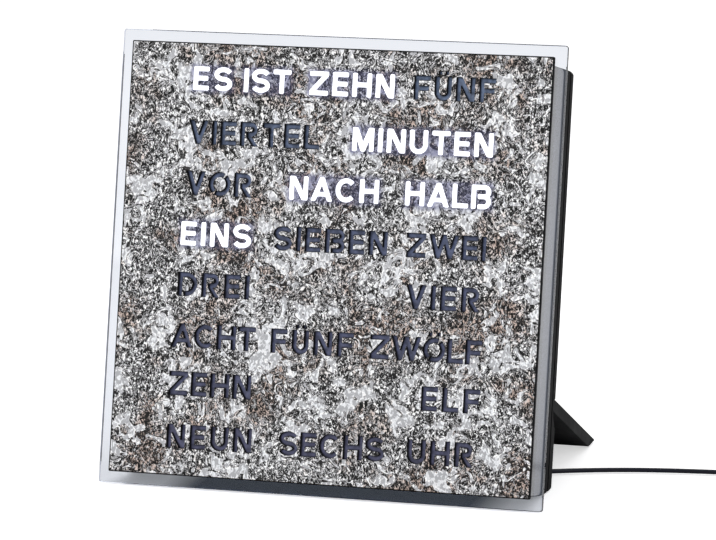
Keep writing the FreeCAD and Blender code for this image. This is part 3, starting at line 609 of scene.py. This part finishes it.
def rounded(points, radius, steps=3):
    """The outline with its corners rounded; short edges get smaller rounds."""
    result = []
    for index, point in enumerate(points):
        here = Vector(point)
        before = Vector(points[index - 1]) - here
        after = Vector(points[(index + 1) % len(points)]) - here
        reach = min(radius, before.length * ROUND_SHARE, after.length * ROUND_SHARE)
        if before.length < 1e-6 or after.length < 1e-6 or before.angle(after) > STRAIGHT:
            result.append(point)
            continue
        start, end = here + before.normalized() * reach, here + after.normalized() * reach
        for step in range(steps + 1):
            share = step / steps
            spot = start * (1 - share) ** 2 + here * (2 * share * (1 - share)) + end * share ** 2
            result.append((spot.x, spot.y))
    return result


# ---- meshes from outlines ----
def linked(name, data):
    """A new object in the scene."""
    thing = bpy.data.objects.new(name, data)
    bpy.context.scene.collection.objects.link(thing)
    return thing


def evaluated(thing):
    """The mesh that an object's curve or modifiers give."""
    graph = bpy.context.evaluated_depsgraph_get()
    return bpy.data.meshes.new_from_object(thing.evaluated_get(graph))


def place(name, data, body="clock", replaces=()):
    """Make a piece that rides on its body, and hide the nodes it stands for."""
    piece = linked(name, data)
    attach(piece, body)
    if replaces:
        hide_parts(*replaces)
    return piece


def make_sheet(name, contours, front, back, material, replaces=()):
    """A flat piece with the contours' even-odd shape, between two depths of the upright drawing."""
    curve = bpy.data.curves.new(name, "CURVE")
    curve.dimensions = "2D"
    curve.fill_mode = "BOTH"
    curve.extrude = (back - front) / 2
    for contour in contours:
        spline = curve.splines.new("POLY")
        spline.points.add(len(contour) - 1)
        for point, (x, y) in zip(spline.points, contour):
            point.co = (x, y, 0, 1)
        spline.use_cyclic_u = True
    temporary = linked(name, curve)
    mesh = evaluated(temporary)
    bpy.data.objects.remove(temporary)
    work = bmesh.new()
    work.from_mesh(mesh)
    bmesh.ops.remove_doubles(work, verts=work.verts, dist=WELD)
    bmesh.ops.recalc_face_normals(work, faces=work.faces)
    upright = Matrix(((1, 0, 0, 0), (0, 0, -1, (front + back) / 2), (0, 1, 0, 0), (0, 0, 0, 1)))
    work.transform(LEAN @ upright)
    work.to_mesh(mesh)
    work.free()
    mesh.materials.append(material)
    place(name, mesh, replaces=replaces)


def rectangle(left, right, bottom, top, radius):
    """A rounded rectangle's outline."""
    points = []
    for x, y, start in ((right - radius, top - radius, 0), (left + radius, top - radius, 90),
                        (left + radius, bottom + radius, 180),
                        (right - radius, bottom + radius, 270)):
        points += arc(x, y, radius, radius, start, start + 90, 5)
    return points


# ---- materials ----
# Noises are (scale, detail, roughness, distortion); the stone's scales are per mm.
GRAIN = (0.64, 0.5, 0.6, 0.9)
GRAIN_STRETCH = (1.1, 1, 0.76)
LUMPS = (0.3, 2.0, 0.6)
CLOUDS = (0.05, 3.0, 0.55)
BROWN_CLOUDS = (0.03, 4.0, 0.62)
ISLANDS = (0.13, 3.0, 0.6, 1.2)
VEINS = (0.13, 4.0, 0.6, 1.2)
STONE_WEIGHTS = (18.0, 3.8, 2.4)  # of the grain, lumps and clouds
STONE_BASE = -0.2
PALE_LINE_WIDTH, DARK_LINE_WIDTH = 0.02, 0.13  # the dark lines' width goes with the lumps
STONE_LINES = (((0.33, 1.2, 0.6, 1.6), 0.9, srgb(246, 246, 249)),  # noise, share, colour
               ((0.36, 1.0, 0.5, 1.9), 0.94, srgb(10, 9, 10)))
CLUSTERING = 0.5  # how far the clouds gather the islands
STONE_TONES = ((0.0, srgb(2, 2, 2)), (0.34, srgb(20, 18, 19)), (0.5, srgb(98, 95, 96)),
               (0.64, srgb(216, 214, 218)), (0.78, srgb(255, 255, 255)))
BROWN = srgb(204, 184, 173)
BROWN_SHARE = ((0.475, 0.0), (0.59, 1.0))
SHADE = srgb(24, 22, 23)
SHADE_SHARE = ((0.505, 0.0), (0.53, 0.92), (0.55, 0.92), (0.562, 0.0))
ISLAND_TONES = ((0.0, srgb(186, 187, 191)), (0.3, srgb(212, 214, 218)), (1.0, srgb(238, 240, 244)))
ISLAND_SHARE = ((0.59, 0.0), (0.605, 0.85))
RIM_TONES = ((0.0, srgb(196, 196, 200)), (0.3, srgb(255, 255, 255)))
RIM_SHARE = ((0.56, 0.0), (0.57, 1.0), (0.595, 1.0), (0.61, 0.0))
VEIN = srgb(232, 232, 235)
VEIN_SHARE = ((0.485, 0.0), (0.493, 0.8), (0.5, 0.8), (0.508, 0.0))
# Painted glow round the lit words: the stone there is tinted bluer and darker.
GLOW_PAINT_TINT, GLOW_PAINT_VEIL = srgb(176, 177, 204), srgb(78, 80, 112)
GLOW_PAINT_SHARE = ((0.2, 1.0), (0.8, 0.0))
HALO_NOISE, HALO_FADE, VEIL_SHARE = 0.4, 1.5, 0.3
STONE_BUMP, FLANK_BUMP = (0.15, 0.0001), (0.04, 0.0001)  # strength, distance

MOTTLING, SHELL_MOTTLING = (45.0, 4.0, 0.65), (40.0, 4.0, 0.65)
MOTTLE_SHARE = ((0.3, 0.0), (0.7, 1.0))
MOTTLE_TONES = (0.72, 1.3)
PITTING = (2.0, 0.6)  # detail and roughness
SHELL_PITS = 1100.0
PIT_DEPTH = 0.0002
# Painted light on the moulding where it faces back: this way, and the share by how far it does.
BACKWARD = (0, 0.87, 0.5)
BACK_LIGHT_SHARE = ((0.5, 0.0), (0.7, 1.0))
FLANK_SPECULAR = ((0.84, 0.5), (0.93, 0.06))  # share of the flank's depth, value
FLANK_ROUGHNESS = ((0.84, 0.22), (0.93, 0.62))
FLANK_GRAIN, FILM_GRAIN, EDGE_GRAIN, GLOW_GRAIN = 1.4, 0.35, 0.5, 0.1
# Painted light on the flanks by share of their depth: bright next to the glass, dark at their rear.
FLANK_PAINTED_LIGHT = ((0.2, srgb(200, 198, 196)), (0.86, srgb(180, 178, 182)), (0.95, srgb(104, 110, 124)),
               (1.0, 0.0))
FILM_TONES = ((0.1, srgb(66, 67, 89)), (0.5, srgb(68, 74, 98)), (0.95, srgb(82, 95, 118)))
FILM_CLOUDS = ((0.35, 0.45), (0.65, 1.0))
# The frosted rim: pale tones that also glow faintly as painted light, and painted shade on the right.
EDGE_GLOW_TONES = ((0.3, srgb(214, 217, 229)), (0.7, srgb(230, 233, 244)))
EDGE_IN_SHADE = srgb(30, 33, 40)
NICKEL = srgb(190, 186, 176)
WHITE = (1, 1, 1, 1)
# Painted shade of the floor right behind the clock, seen through the glass.
FLOOR_SHADE = srgb(60, 74, 104)
PLASTICS = (  # name, colour, roughness, grain, nodes of the model
    ("milky_sheet", (226, 228, 232), 0.5, 0.12, ("diffuser_sheet",)),
    ("foam_black", (18, 18, 20), 0.9, 0.4, ("foam_tape",)),
    ("grid_black", (24, 24, 26), 0.7, 0.12, ("light_grid",)),
    ("board_green", (24, 74, 48), 0.4, 0.12, ("led_board", "control_board")),
    ("lamp_white", (236, 232, 214), 0.4, 0.12, ("leds",)),
    ("chip_black", (22, 22, 24), 0.5, 0.12,
     ("driver_chips", "control_chips", "tact_switches", "dc_jack")),
    ("rubber_black", (26, 26, 27), 0.85, 0.3, ("foot_pads",)),
    ("ribbon_grey", (150, 152, 158), 0.5, 0.12, ("ribbon_cable",)),
    ("connector_white", (222, 218, 206), 0.5, 0.12, ("ribbon_connectors",)),
    ("washer_white", (214, 212, 204), 0.5, 0.12, ("friction_washers",)),
)


def box_distance(look, across, up, left, right, bottom, top):
    """Node distance in mm from a box on the panel, 0 inside it."""
    gaps = []
    for value, low, high in ((across, left, right), (up, bottom, top)):
        centred = look.math("ABSOLUTE", look.math("SUBTRACT", value, (low + high) / 2))
        outside = look.math("SUBTRACT", centred, (high - low) / 2)
        gaps.append(look.math("MAXIMUM", outside, 0.0))
    squares = [look.math("MULTIPLY", gap, gap) for gap in gaps]
    return look.math("SQRT", look.math("ADD", *squares))


def painted_glow_share(look, mm):
    """Share of the painted glow: 1 next to the lit words, fading to 0 with a ragged edge."""
    across, _, up = look.split(mm)
    nearest = None
    for row, _, left, right, lit in WORDS:
        if lit:
            distance = box_distance(look, across, up, left, right,
                                    ROW_TOPS[row] - CAP_HEIGHT, ROW_TOPS[row])
            nearest = distance if nearest is None else look.math("MINIMUM", nearest, distance)
    ragged = look.math("MULTIPLY_ADD", look.noise(mm, HALO_NOISE), HALO_REACH, nearest)
    return look.ramp(look.math("DIVIDE", ragged, HALO_REACH * HALO_FADE), GLOW_PAINT_SHARE, "EASE")


def stone_material():
    """Printed stone: dark and pale grains with fine lines, brown clouds, pale islands with bright
    rims and dark outlines, thin veins, and a painted glow that tints it bluer and darker round the
    lit words."""
    look = Look("stone_print", Roughness=0.6, Specular_IOR_Level=0.3)
    mm, tall = look.coordinates(), look.coordinates(GRAIN_STRETCH)
    lumps, clouds = look.noise(mm, *LUMPS), look.noise(mm, *CLOUDS)
    value = STONE_BASE
    for source, weight in zip((look.noise(tall, *GRAIN), lumps, clouds), STONE_WEIGHTS):
        value = look.swing(source, weight, value)
    colour = look.ramp(value, STONE_TONES)
    widths = (PALE_LINE_WIDTH, look.math("MULTIPLY", lumps, DARK_LINE_WIDTH))
    for width, (noise, share, line) in zip(widths, STONE_LINES):
        ridge = look.ridge(look.noise(tall, *noise), width)
        colour = look.mix(look.math("MULTIPLY", ridge, share), colour, line)
    brown = look.ramp(look.noise(mm, *BROWN_CLOUDS), BROWN_SHARE)
    colour = look.mix(brown, colour, look.tint(colour, BROWN))

    field = look.swing(clouds, CLUSTERING, look.noise(mm, *ISLANDS))
    for share, tone in ((SHADE_SHARE, SHADE), (ISLAND_SHARE, look.ramp(value, ISLAND_TONES)),
                        (RIM_SHARE, look.ramp(value, RIM_TONES))):
        colour = look.mix(look.ramp(field, share), colour, tone)
    colour = look.mix(look.ramp(look.noise(mm, *VEINS), VEIN_SHARE), colour, VEIN)

    # Painted glow: the stone round the lit words is tinted bluer and darker.
    glow_painted = look.mix(VEIL_SHARE, look.tint(colour, GLOW_PAINT_TINT), GLOW_PAINT_VEIL)
    look.feed(Base_Color=look.mix(painted_glow_share(look, mm), colour, glow_painted))
    look.bump(value, *STONE_BUMP)
    return look.material


def plastic(name, colour, roughness=0.45, grain=0.12, size=900.0, metallic=0.0, specular=0.5):
    """Moulded plastic or metal: a faint mottling and a fine surface grain."""
    look = Look(name, Metallic=metallic, Specular_IOR_Level=specular)
    source = look.add("TexCoord").outputs["Object"]
    cloud = look.noise(source, *MOTTLING)
    pitting = look.noise(source, size, *PITTING)
    deep, pale = (tuple(min(channel * share, 1) for channel in colour[:3]) + (1,)
                  for share in MOTTLE_TONES)
    look.feed(Base_Color=look.mix(look.ramp(cloud, MOTTLE_SHARE), deep, pale),
              Roughness=look.swing(pitting, 0.25, look.swing(cloud, 0.5, roughness)))
    look.bump(pitting, grain * 2, PIT_DEPTH)
    return look.material


def shell_material(name):
    """Black moulding: smooth and black on its sides, greyer where it faces back, a painted light for
    that side.
    """
    look = Look(name, Specular_IOR_Level=0.06)
    source = look.add("TexCoord")
    facing = look.add("VectorMath", operation="DOT_PRODUCT")
    look.give(facing.inputs[0], source.outputs["Normal"])
    look.give(facing.inputs[1], BACKWARD)
    # Painted light: the moulding is greyer where it faces back.
    painted_back_light = look.ramp(facing.outputs["Value"], BACK_LIGHT_SHARE)
    cloud = look.noise(source.outputs["Object"], *SHELL_MOTTLING)
    pitting = look.noise(source.outputs["Object"], SHELL_PITS, *PITTING)
    grey = look.ramp(pitting, ((0.3, srgb(24, 24, 26)), (0.7, srgb(44, 44, 47))))
    black = look.ramp(cloud, ((0.3, srgb(7, 7, 8)), (0.7, srgb(12, 12, 14))))
    look.feed(Base_Color=look.mix(painted_back_light, black, grey), Roughness=look.swing(cloud, 0.4, 0.6))
    look.bump(pitting, 0.4, PIT_DEPTH)
    return look.material


def flank_material():
    """Black front shell: its flanks are polished up to their rear and mirror the room at a flat
    angle;
    painted light on them is bright next to the glass and fades towards their rear."""
    look = Look("front_shell_black", Base_Color=srgb(9, 9, 11), Emission_Strength=0.3)
    mm = look.coordinates()
    across, behind, _ = look.split(mm)
    flank = look.math("GREATER_THAN", look.math("ABSOLUTE", across), FLANK_FROM)
    depth = look.math("DIVIDE", behind, FLANK_DEPTH)
    # The emission on the flanks is painted light.
    look.feed(Specular_IOR_Level=look.ramp(depth, FLANK_SPECULAR),
              Roughness=look.ramp(depth, FLANK_ROUGHNESS),
              Emission_Color=look.mix(flank, (0, 0, 0, 1), look.ramp(depth, FLANK_PAINTED_LIGHT)))
    look.bump(look.noise(mm, FLANK_GRAIN), *FLANK_BUMP)
    return look.material


def glass_material():
    """Clear, faintly blue."""
    return Look("clear_glass", Base_Color=(0.885, 0.91, 0.96, 1), Roughness=0.0, IOR=1.5,
                Transmission_Weight=1.0, Specular_IOR_Level=0.3,
                Specular_Tint=(0.75, 0.85, 1.0, 1)).material


def ground_edge_material():
    """Frosted rim of the glass: pale with a faint painted glow, and painted in shade on the right."""
    look = Look("ground_edge", Roughness=0.7, Specular_IOR_Level=0.1, Emission_Strength=0.4)
    mm = look.coordinates()
    shaded = look.math("GREATER_THAN", look.split(mm)[0], GLASS_SIDE / 2 - 1)
    pale = look.ramp(look.noise(mm, EDGE_GRAIN), EDGE_GLOW_TONES)
    colour = look.mix(shaded, pale, EDGE_IN_SHADE)
    look.feed(Base_Color=colour, Emission_Color=colour)
    return look.material


def glow_material():
    """Light that fills the cut letters, a touch bluer in places."""
    look = Look("lit_letters", Base_Color=WHITE, Roughness=0.5, Emission_Strength=1.0)
    cloud = look.noise(look.coordinates(), GLOW_GRAIN, 1.0)
    look.feed(Emission_Color=look.mix(cloud, srgb(250, 250, 255), WHITE))
    return look.material


def painted_glow_material():
    """Painted glow round the lit letters: a faint emissive, half-clear sheet in front of the print.
    """
    return Look("painted_glow_fringe", Base_Color=srgb(200, 204, 226), Roughness=0.6,
                Emission_Color=srgb(200, 204, 230), Emission_Strength=0.3, Alpha=0.35).material


def film_painted_light_material(name, level):
    """The tinted film seen at the bottom of the unlit letters, deeper in tone lower down; it glows at
    the given level, a painted light.
    """
    look = Look(name, Roughness=0.5, Emission_Strength=level)
    mm = look.coordinates()
    tone = look.ramp(look.math("DIVIDE", look.split(mm)[2], GLASS_SIDE), FILM_TONES)
    cloud = look.ramp(look.noise(mm, FILM_GRAIN), FILM_CLOUDS)
    colour = look.tint(tone, cloud)
    look.feed(Base_Color=colour, Emission_Color=colour)
    return look.material


# ---- panel, letters and glass ----
def square_outline(margin, corner):
    """Outline of a square that lies inside the glass by a margin."""
    half = GLASS_SIDE / 2 - margin
    return rectangle(-half, half, margin, GLASS_SIDE - margin, corner)


def panel_outline(inset):
    """The panel's outline, drawn in."""
    return square_outline(PANEL_MARGIN + inset, PANEL_CORNER)


def make_panel():
    """Printed stone face on a black core, the film behind the cuts with painted light on it and on
    the middle of each unlit stroke, the light in the lit cuts with a painted glow round them, and the
    frosted rim of the glass."""
    printed, core = [panel_outline(PRINT_INSET)], [panel_outline(0)]
    lit, fringe, painted_cores = [], [], []
    for word in WORDS:
        printed += grown_word(word, LETTER_RIM)
        core += grown_word(word, 0)
        if word[-1]:
            lit += grown_word(word, LIT_GROWTH, LIT_CORNER)
            fringe += grown_word(word, FRINGE_GROWTH, FRINGE_CORNER)
        else:
            painted_cores += grown_word(word, -CORE_SHRINK)
    front = -PANEL_THICKNESS
    step = front + PRINT_THICKNESS
    make_sheet("stone_panel", printed, front, step, stone_material(),
               replaces=["word_panel"])
    make_sheet("panel_core", core, step, -FILM_THICKNESS - FILM_GAP,
               plastic("cut_edge_black", srgb(5, 5, 7), 0.7, specular=0.2))
    # The film behind the cuts glows faintly: painted light.
    make_sheet("letter_floor", [panel_outline(FILM_INSET)], -FILM_THICKNESS, -FILM_GAP,
               film_painted_light_material("letter_floor", FILM_PAINTED_LIGHT))
    # Painted light on the middle of each unlit stroke, so that it is brighter than the stroke's
    # edges.
    make_sheet("letter_core_painted_light", painted_cores, -FILM_THICKNESS - FILM_GAP / 2, -FILM_THICKNESS,
               film_painted_light_material("letter_core_painted_light", CORE_PAINTED_LIGHT))
    rim = [square_outline(inset, GLASS_CORNER - inset) for inset in GROUND_EDGE]
    make_sheet("ground_edge", rim, GROUND_ARRIS, GLASS_THICKNESS - GROUND_ARRIS,
               ground_edge_material())
    # Painted glow: a faint emissive sheet in front of the print round the lit letters.
    make_sheet("painted_glow_fringe", fringe, front - FRINGE_LAYER[0], front - FRINGE_LAYER[1],
               painted_glow_material())
    make_sheet("lit_words", lit, front - LIGHT_LAYER[0], front - LIGHT_LAYER[1], glow_material())


def dress(material, *names):
    """Give nodes of the model a material."""
    for name in names:
        for socket in nodes[name].material_slots:
            socket.material = material


# ---- lead ----
def coil_points():
    """Turns wound clockwise, layer on layer, from the back of the coil to its right side."""
    steps, quarter = COIL_TURNS * COIL_STEPS, COIL_STEPS // 4
    spread = 1 / math.cos(math.pi / COIL_STEPS) ** CURVE_PULL
    points = []
    for index in range(COIL_LAYERS * steps + quarter + 1):
        layer = min(index // steps, COIL_LAYERS - 1)
        length = steps + (quarter if layer == COIL_LAYERS - 1 else 0)
        share = (index - layer * steps) / length
        inward = share if layer % 2 == 0 else 1 - share
        radius = (COIL_OUTER + (COIL_INNER - COIL_OUTER) * inward) * spread
        angle = math.pi / 2 - math.tau * index / COIL_STEPS
        border = round(index / steps)
        level = min(border, COIL_LAYERS - 1)
        if 0 < border < COIL_LAYERS:
            climb = 0.5 + (index / steps - border) * steps / (COIL_STEPS // 2)
            level = border - 1 + min(max(climb, 0), 1)
        points.append((COIL_CENTRE[0] + radius * math.cos(angle),
                       COIL_CENTRE[1] + radius * math.sin(angle), LEAD_RADIUS * (1 + 2 * level)))
    return points


def make_tie(material):
    """A wire tie that holds the coil's turns: a band round them and its twisted ends."""
    angle = math.radians(TIE_ANGLE)
    out = Vector((math.cos(angle), math.sin(angle), 0))
    along = Vector((-math.sin(angle), math.cos(angle), 0))
    centre = Vector((*COIL_CENTRE, 0)) / MM
    inner, outer = COIL_INNER / MM - TIE_CLEAR, COIL_OUTER / MM + TIE_CLEAR
    top = COIL_LAYERS * 2 * LEAD_RADIUS / MM
    loops = []
    for side, wall in ((-1, 0), (-1, TIE_WALL), (1, TIE_WALL), (1, 0), (-1, 0)):
        loop = rectangle(inner - wall, outer + wall, TIE_FOOT - wall * 0.7, top + wall,
                         TIE_CORNER + wall)
        loops.append([centre + out * radius + along * side * TIE_HALF_WIDTH + Vector((0, 0, height))
                      for radius, height in loop])
    work = bmesh.new()
    stack(work, loops)
    caps = [face for face in work.faces if len(face.verts) > 4]
    bmesh.ops.delete(work, geom=caps, context="FACES_ONLY")
    bmesh.ops.remove_doubles(work, verts=work.verts, dist=WELD)
    twist = [(step * TWIST_STEP, TWIST_RADII[step % 2]) for step in range(TWIST_STEPS)]
    turned(work, centre + out * (outer + TWIST_FROM[0]) + Vector((0, 0, top + TWIST_FROM[1])),
           out * TWIST_SLOPE[0] + Vector((0, 0, TWIST_SLOPE[1])), twist, 16)
    return finish("coil_tie", work, material, upright=False)


def make_lead():
    """The lead from the plug through its coil to the supply, with the pieces at its ends."""
    curve = bpy.data.curves.new("lead", "CURVE")
    curve.dimensions = "3D"
    curve.bevel_depth = LEAD_RADIUS
    curve.bevel_resolution = 4
    curve.resolution_u = 4
    curve.use_fill_caps = True
    spline = curve.splines.new("NURBS")
    route = LEAD_ROUTE + coil_points() + TAIL_ROUTE
    spline.points.add(len(route) - 1)
    for point, spot in zip(spline.points, route):
        point.co = (*spot, 1)
    spline.order_u = 3
    spline.use_endpoint_u = True
    curve.materials.append(plastic("lead_vinyl", srgb(12, 14, 30), 0.4, 0.05, specular=0.25))
    lead = place("lead", curve, replaces=["cord_lead", "cord_coil", "cord_tail"])
    vinyl = plastic("plug_black", srgb(22, 22, 26), 0.4, 0.15)
    metal = plastic("nickel", NICKEL, 0.28, 0.03, metallic=1.0)
    carried = [make_plug(vinyl), nodes["plug_barrel"], make_supply(vinyl, metal), make_tie(vinyl)]


# ---- turned and moulded pieces ----
def stack(work, loops):
    """Join loops of points, one after another, into a closed skin; each has the same number."""
    rings = [[work.verts.new(point) for point in loop] for loop in loops]
    count = len(rings[0])
    for lower, upper in zip(rings, rings[1:]):
        for index in range(count):
            after = (index + 1) % count
            work.faces.new((lower[index], lower[after], upper[after], upper[index]))
    work.faces.new(rings[0][::-1])
    work.faces.new(rings[-1])


def turned(work, start, axis, profile, segments=40):
    """A turned solid; profile rows are (distance along the axis, radius)."""
    axis = Vector(axis).normalized()
    side = axis.orthogonal().normalized()
    other = axis.cross(side)
    loops = []
    for distance, radius in profile:
        middle = Vector(start) + axis * distance
        loops.append([middle + (side * math.cos(math.tau * step / segments)
                                + other * math.sin(math.tau * step / segments)) * radius
                      for step in range(segments)])
    stack(work, loops)


def moulded(work, middle, size, corner, profile):
    """A rounded upright block; profile rows are (height, how far the outline is drawn in)."""
    x, y = middle
    width, length = size
    loops = []
    for height, inset in profile:
        outline = rectangle(x - width / 2 + inset, x + width / 2 - inset,
                            y - length / 2 + inset, y + length / 2 - inset,
                            max(corner - inset, 0.3))
        loops.append([(across, along, height) for across, along in outline])
    stack(work, loops)


def finish(name, work, material, upright=True, body="clock", replaces=()):
    """Turn the work into a piece: millimetres to metres, leaned where it was drawn upright."""
    bmesh.ops.recalc_face_normals(work, faces=work.faces)
    work.transform(LEAN if upright else Matrix.Scale(MM, 4))
    mesh = bpy.data.meshes.new(name)
    work.to_mesh(mesh)
    work.free()
    mesh.shade_smooth()
    mesh.set_sharp_from_angle(angle=CREASE)
    mesh.materials.append(material)
    return place(name, mesh, body, replaces)


def cut_away(piece, cutter):
    """Take one mesh from another."""
    modifier = piece.modifiers.new("cut", "BOOLEAN")
    modifier.operation = "DIFFERENCE"
    modifier.object = cutter
    mesh = evaluated(piece)
    piece.modifiers.clear()
    piece.data = mesh
    bpy.data.objects.remove(cutter)


def make_relief(name, start, axis, length, material, upright, replaces):
    """A tapered strain relief with grooves between its ribs."""
    thick, thin = RELIEF_RADII
    profile = [(0, thick)]
    for rib in range(RELIEF_RIBS):
        for share, size in RIB_PROFILE:
            along = (rib + share) / RELIEF_RIBS
            profile.append((along * length, (thick + (thin - thick) * along) * size))
    work = bmesh.new()
    turned(work, start, axis, profile + [(length, thin * RELIEF_END)], FINE)
    return finish(name, work, material, upright=upright, replaces=replaces)


def make_screws(steel):
    """Round-headed cross-slot screws that hold the cover."""
    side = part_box("cover_screws")[1][0] / MM - SCREW_HEAD
    cross = [(x * cosine - y * sine, x * sine + y * cosine)
             for cosine, sine in ((1, 0), (0, 1), (-1, 0), (0, -1)) for x, y in SLOT_ARM]
    work, slots = bmesh.new(), bmesh.new()
    for across in (-side, side):
        for up in SCREW_HEIGHTS:
            turned(work, (across, SCREW_SEAT, up), (0, 1, 0), SCREW_PROFILE)
            stack(slots, [[(across + x * size, SCREW_SEAT + level, up + y * size)
                           for x, y in cross] for level, size in SLOT_LEVELS])
    screws = finish("cover_screw_heads", work, steel, replaces=["cover_screws"])
    cut_away(screws, finish("slot_cutter", slots, steel))


def make_buttons():
    """Press caps with a soft edge and a shallow dish for the fingertip."""
    material = plastic("button_grey", srgb(62, 62, 66), 0.5)
    for name, across in zip(("hour_button", "minute_button", "colour_button"), BUTTON_PLACES):
        work = bmesh.new()
        turned(work, (across, PLINTH, BUTTON_HEIGHT), (0, 1, 0), BUTTON_PROFILE)
        finish(name + "_cap", work, material, body=name, replaces=[name])


def make_plug(vinyl):
    """The angled plug at the clock: collar, head and grooved handle; its relief is given back."""
    across, up = JACK_PLACE
    work = bmesh.new()
    turned(work, (across, PLINTH, up), (0, 1, 0), PLUG_COLLAR)
    width, height = PLUG_HALF
    loops = []
    for depth, inset in PLUG_LEVELS:
        outline = rectangle(across - width + inset, across + width - inset,
                            up - height + inset, up + height - inset, PLUG_CORNER - inset * 0.6)
        loops.append([(x, PLINTH + depth, z) for x, z in outline])
    stack(work, loops)
    middle = PLINTH + HANDLE_HEIGHT
    grooves = [(start + along, radius) for start in GROOVE_STARTS
               for along, radius in GROOVE_PROFILE]
    turned(work, (across + HANDLE_FROM, middle, up), (1, 0, 0),
           [(0, HANDLE_RADIUS), *grooves, *HANDLE_END])
    finish("plug_body", work, vinyl, replaces=["dc_plug"])
    return make_relief("plug_strain_relief", (across + RELIEF_FROM, middle, up), (1, 0, 0),
                       PLUG_RELIEF, vinyl, True, ["plug_relief"])


def make_supply(vinyl, metal):
    """The plug-in supply: two shells with a parting groove, a raised face and sleeved round pins;
    its relief is given back."""
    case = plastic("adapter_black", srgb(26, 26, 29), 0.5, 0.25, 1200)
    low, high = (Vector(corner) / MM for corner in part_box("adapter_body"))
    pins_low, pins_high = (Vector(corner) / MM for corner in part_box("adapter_pins"))
    middle = ((low.x + high.x) / 2, (low.y + high.y) / 2)
    face = (middle[0], (pins_low.y + pins_high.y) / 2)
    work = bmesh.new()
    moulded(work, middle, (high.x - low.x, high.y - low.y), SUPPLY_CORNER, SUPPLY_LEVELS)
    moulded(work, face, FACE_SIZE, FACE_CORNER, FACE_LEVELS)
    finish("supply_case", work, case, upright=False, replaces=["adapter_body"])
    sleeves, pins = bmesh.new(), bmesh.new()
    for across in (pins_low.x + PIN_RADIUS, pins_high.x - PIN_RADIUS):
        turned(sleeves, (across, face[1], SLEEVE_FROM), (0, 0, 1), SLEEVE_PROFILE, FINE)
        turned(pins, (across, face[1], PIN_FROM), (0, 0, 1), PIN_PROFILE, FINE)
    finish("pin_sleeves", sleeves, case, upright=False)
    finish("supply_pins", pins, metal, upright=False, replaces=["adapter_pins"])
    start = Vector(TAIL_ROUTE[-1]) / MM - Vector((0, SUPPLY_RELIEF, 0))
    return make_relief("supply_strain_relief", start, (0, 1, 0), SUPPLY_RELIEF, vinyl, False,
                       ["adapter_relief"])


# ---- stage, lights and camera ----
def make_stage():
    """A pale floor; through the glass it is seen bright, but right behind the clock it has painted
    shade in dark blue.
    """
    bpy.ops.mesh.primitive_plane_add(size=FLOOR_SIZE, location=FLOOR_PLACE)
    floor = bpy.context.object
    floor.name = "floor"
    look = Look("floor_white", Roughness=0.9, Specular_IOR_Level=0.1, Emission_Color=WHITE)
    paths = look.add("LightPath")
    across, along, _ = look.split(look.add("TexCoord").outputs["Object"])
    back = look.math("ADD", along, FLOOR_PLACE[1])
    beyond = look.ramp(back, FLOOR_BEYOND)
    beside = look.ramp(look.math("ABSOLUTE", look.math("SUBTRACT", across, CLOCK_MIDDLE)),
                       FLOOR_BESIDE)
    open_floor = look.math("MAXIMUM", beyond, beside)
    level = look.ramp(look.math("DIVIDE", back, FLOOR_REACH), FLOOR_LEVELS)
    glass_ray = paths.outputs["Is Transmission Ray"]
    through = look.math("MULTIPLY", glass_ray, look.math("MULTIPLY", open_floor, level))
    # Painted shade: the floor seen through the glass right behind the clock is dark blue.
    under = look.math("MULTIPLY", glass_ray, look.math("SUBTRACT", 1.0, open_floor))
    seen = look.math("MAXIMUM", paths.outputs["Is Camera Ray"], through)
    look.feed(Base_Color=look.mix(under, FLOOR_WHITE, FLOOR_SHADE),
              Emission_Strength=look.math("MULTIPLY", seen, FLOOR_LIFT))
    floor.data.materials.append(look.material)


def make_world():
    """A white room that looks brighter than it lights."""
    world = bpy.data.worlds.new("studio")
    bpy.context.scene.world = world
    world.use_nodes = True
    sky = Nodes(world.node_tree)
    paths = sky.add("LightPath").outputs
    seen = sky.math("MAXIMUM", paths["Is Camera Ray"], paths["Is Transmission Ray"])
    level = sky.add("MapRange")
    sky.fill(level, Value=seen, To_Min=WORLD_LEVEL, To_Max=1.0)
    sky.fill(sky.tree.nodes["Background"], Color=WHITE, Strength=level.outputs[0])


def aimed(data, location, direction):
    """Put a light or camera in the scene, looking along a direction."""
    thing = linked(data.name, data)
    thing.location = location
    thing.rotation_mode = "QUATERNION"
    thing.rotation_quaternion = Vector(direction).to_track_quat("-Z", "Y")
    return thing


def make_lights():
    """Large soft lights round the clock."""
    for name, location, size, power in LIGHTS:
        light = bpy.data.lights.new(name, "AREA")
        light.shape = "RECTANGLE"
        light.size, light.size_y = size
        light.energy = power
        aimed(light, location, Vector(LIGHT_AIM) - Vector(location))


def make_camera():
    """The photograph's view."""
    camera = bpy.data.cameras.new("camera")
    camera.lens = CAMERA_LENS
    camera.sensor_width = 36
    camera.clip_start, camera.clip_end = CAMERA_RANGE
    bpy.context.scene.camera = aimed(camera, CAMERA_PLACE, CAMERA_LOOK)


make_camera()
make_lead()
make_panel()
steel = plastic("steel", srgb(176, 176, 180), 0.35, 0.05, metallic=1.0)
make_screws(steel)
make_buttons()
dress(flank_material(), "front_housing")
dress(shell_material("shell_black"), "rear_cover", "battery_door", "battery_holder", "stand_flap")
dress(glass_material(), "glass_plate")
dress(steel, "board_screws", "hinge_pins", "coin_cell")
dress(plastic("nickel_inner", NICKEL, 0.28, 0.03, metallic=1.0), "battery_contact", "plug_barrel")
for name, colour, roughness, grain, names in PLASTICS:
    dress(plastic(name, srgb(*colour), roughness, grain), *names)
make_stage()
make_world()
make_lights()
bpy.context.scene.view_settings.view_transform = "Standard"
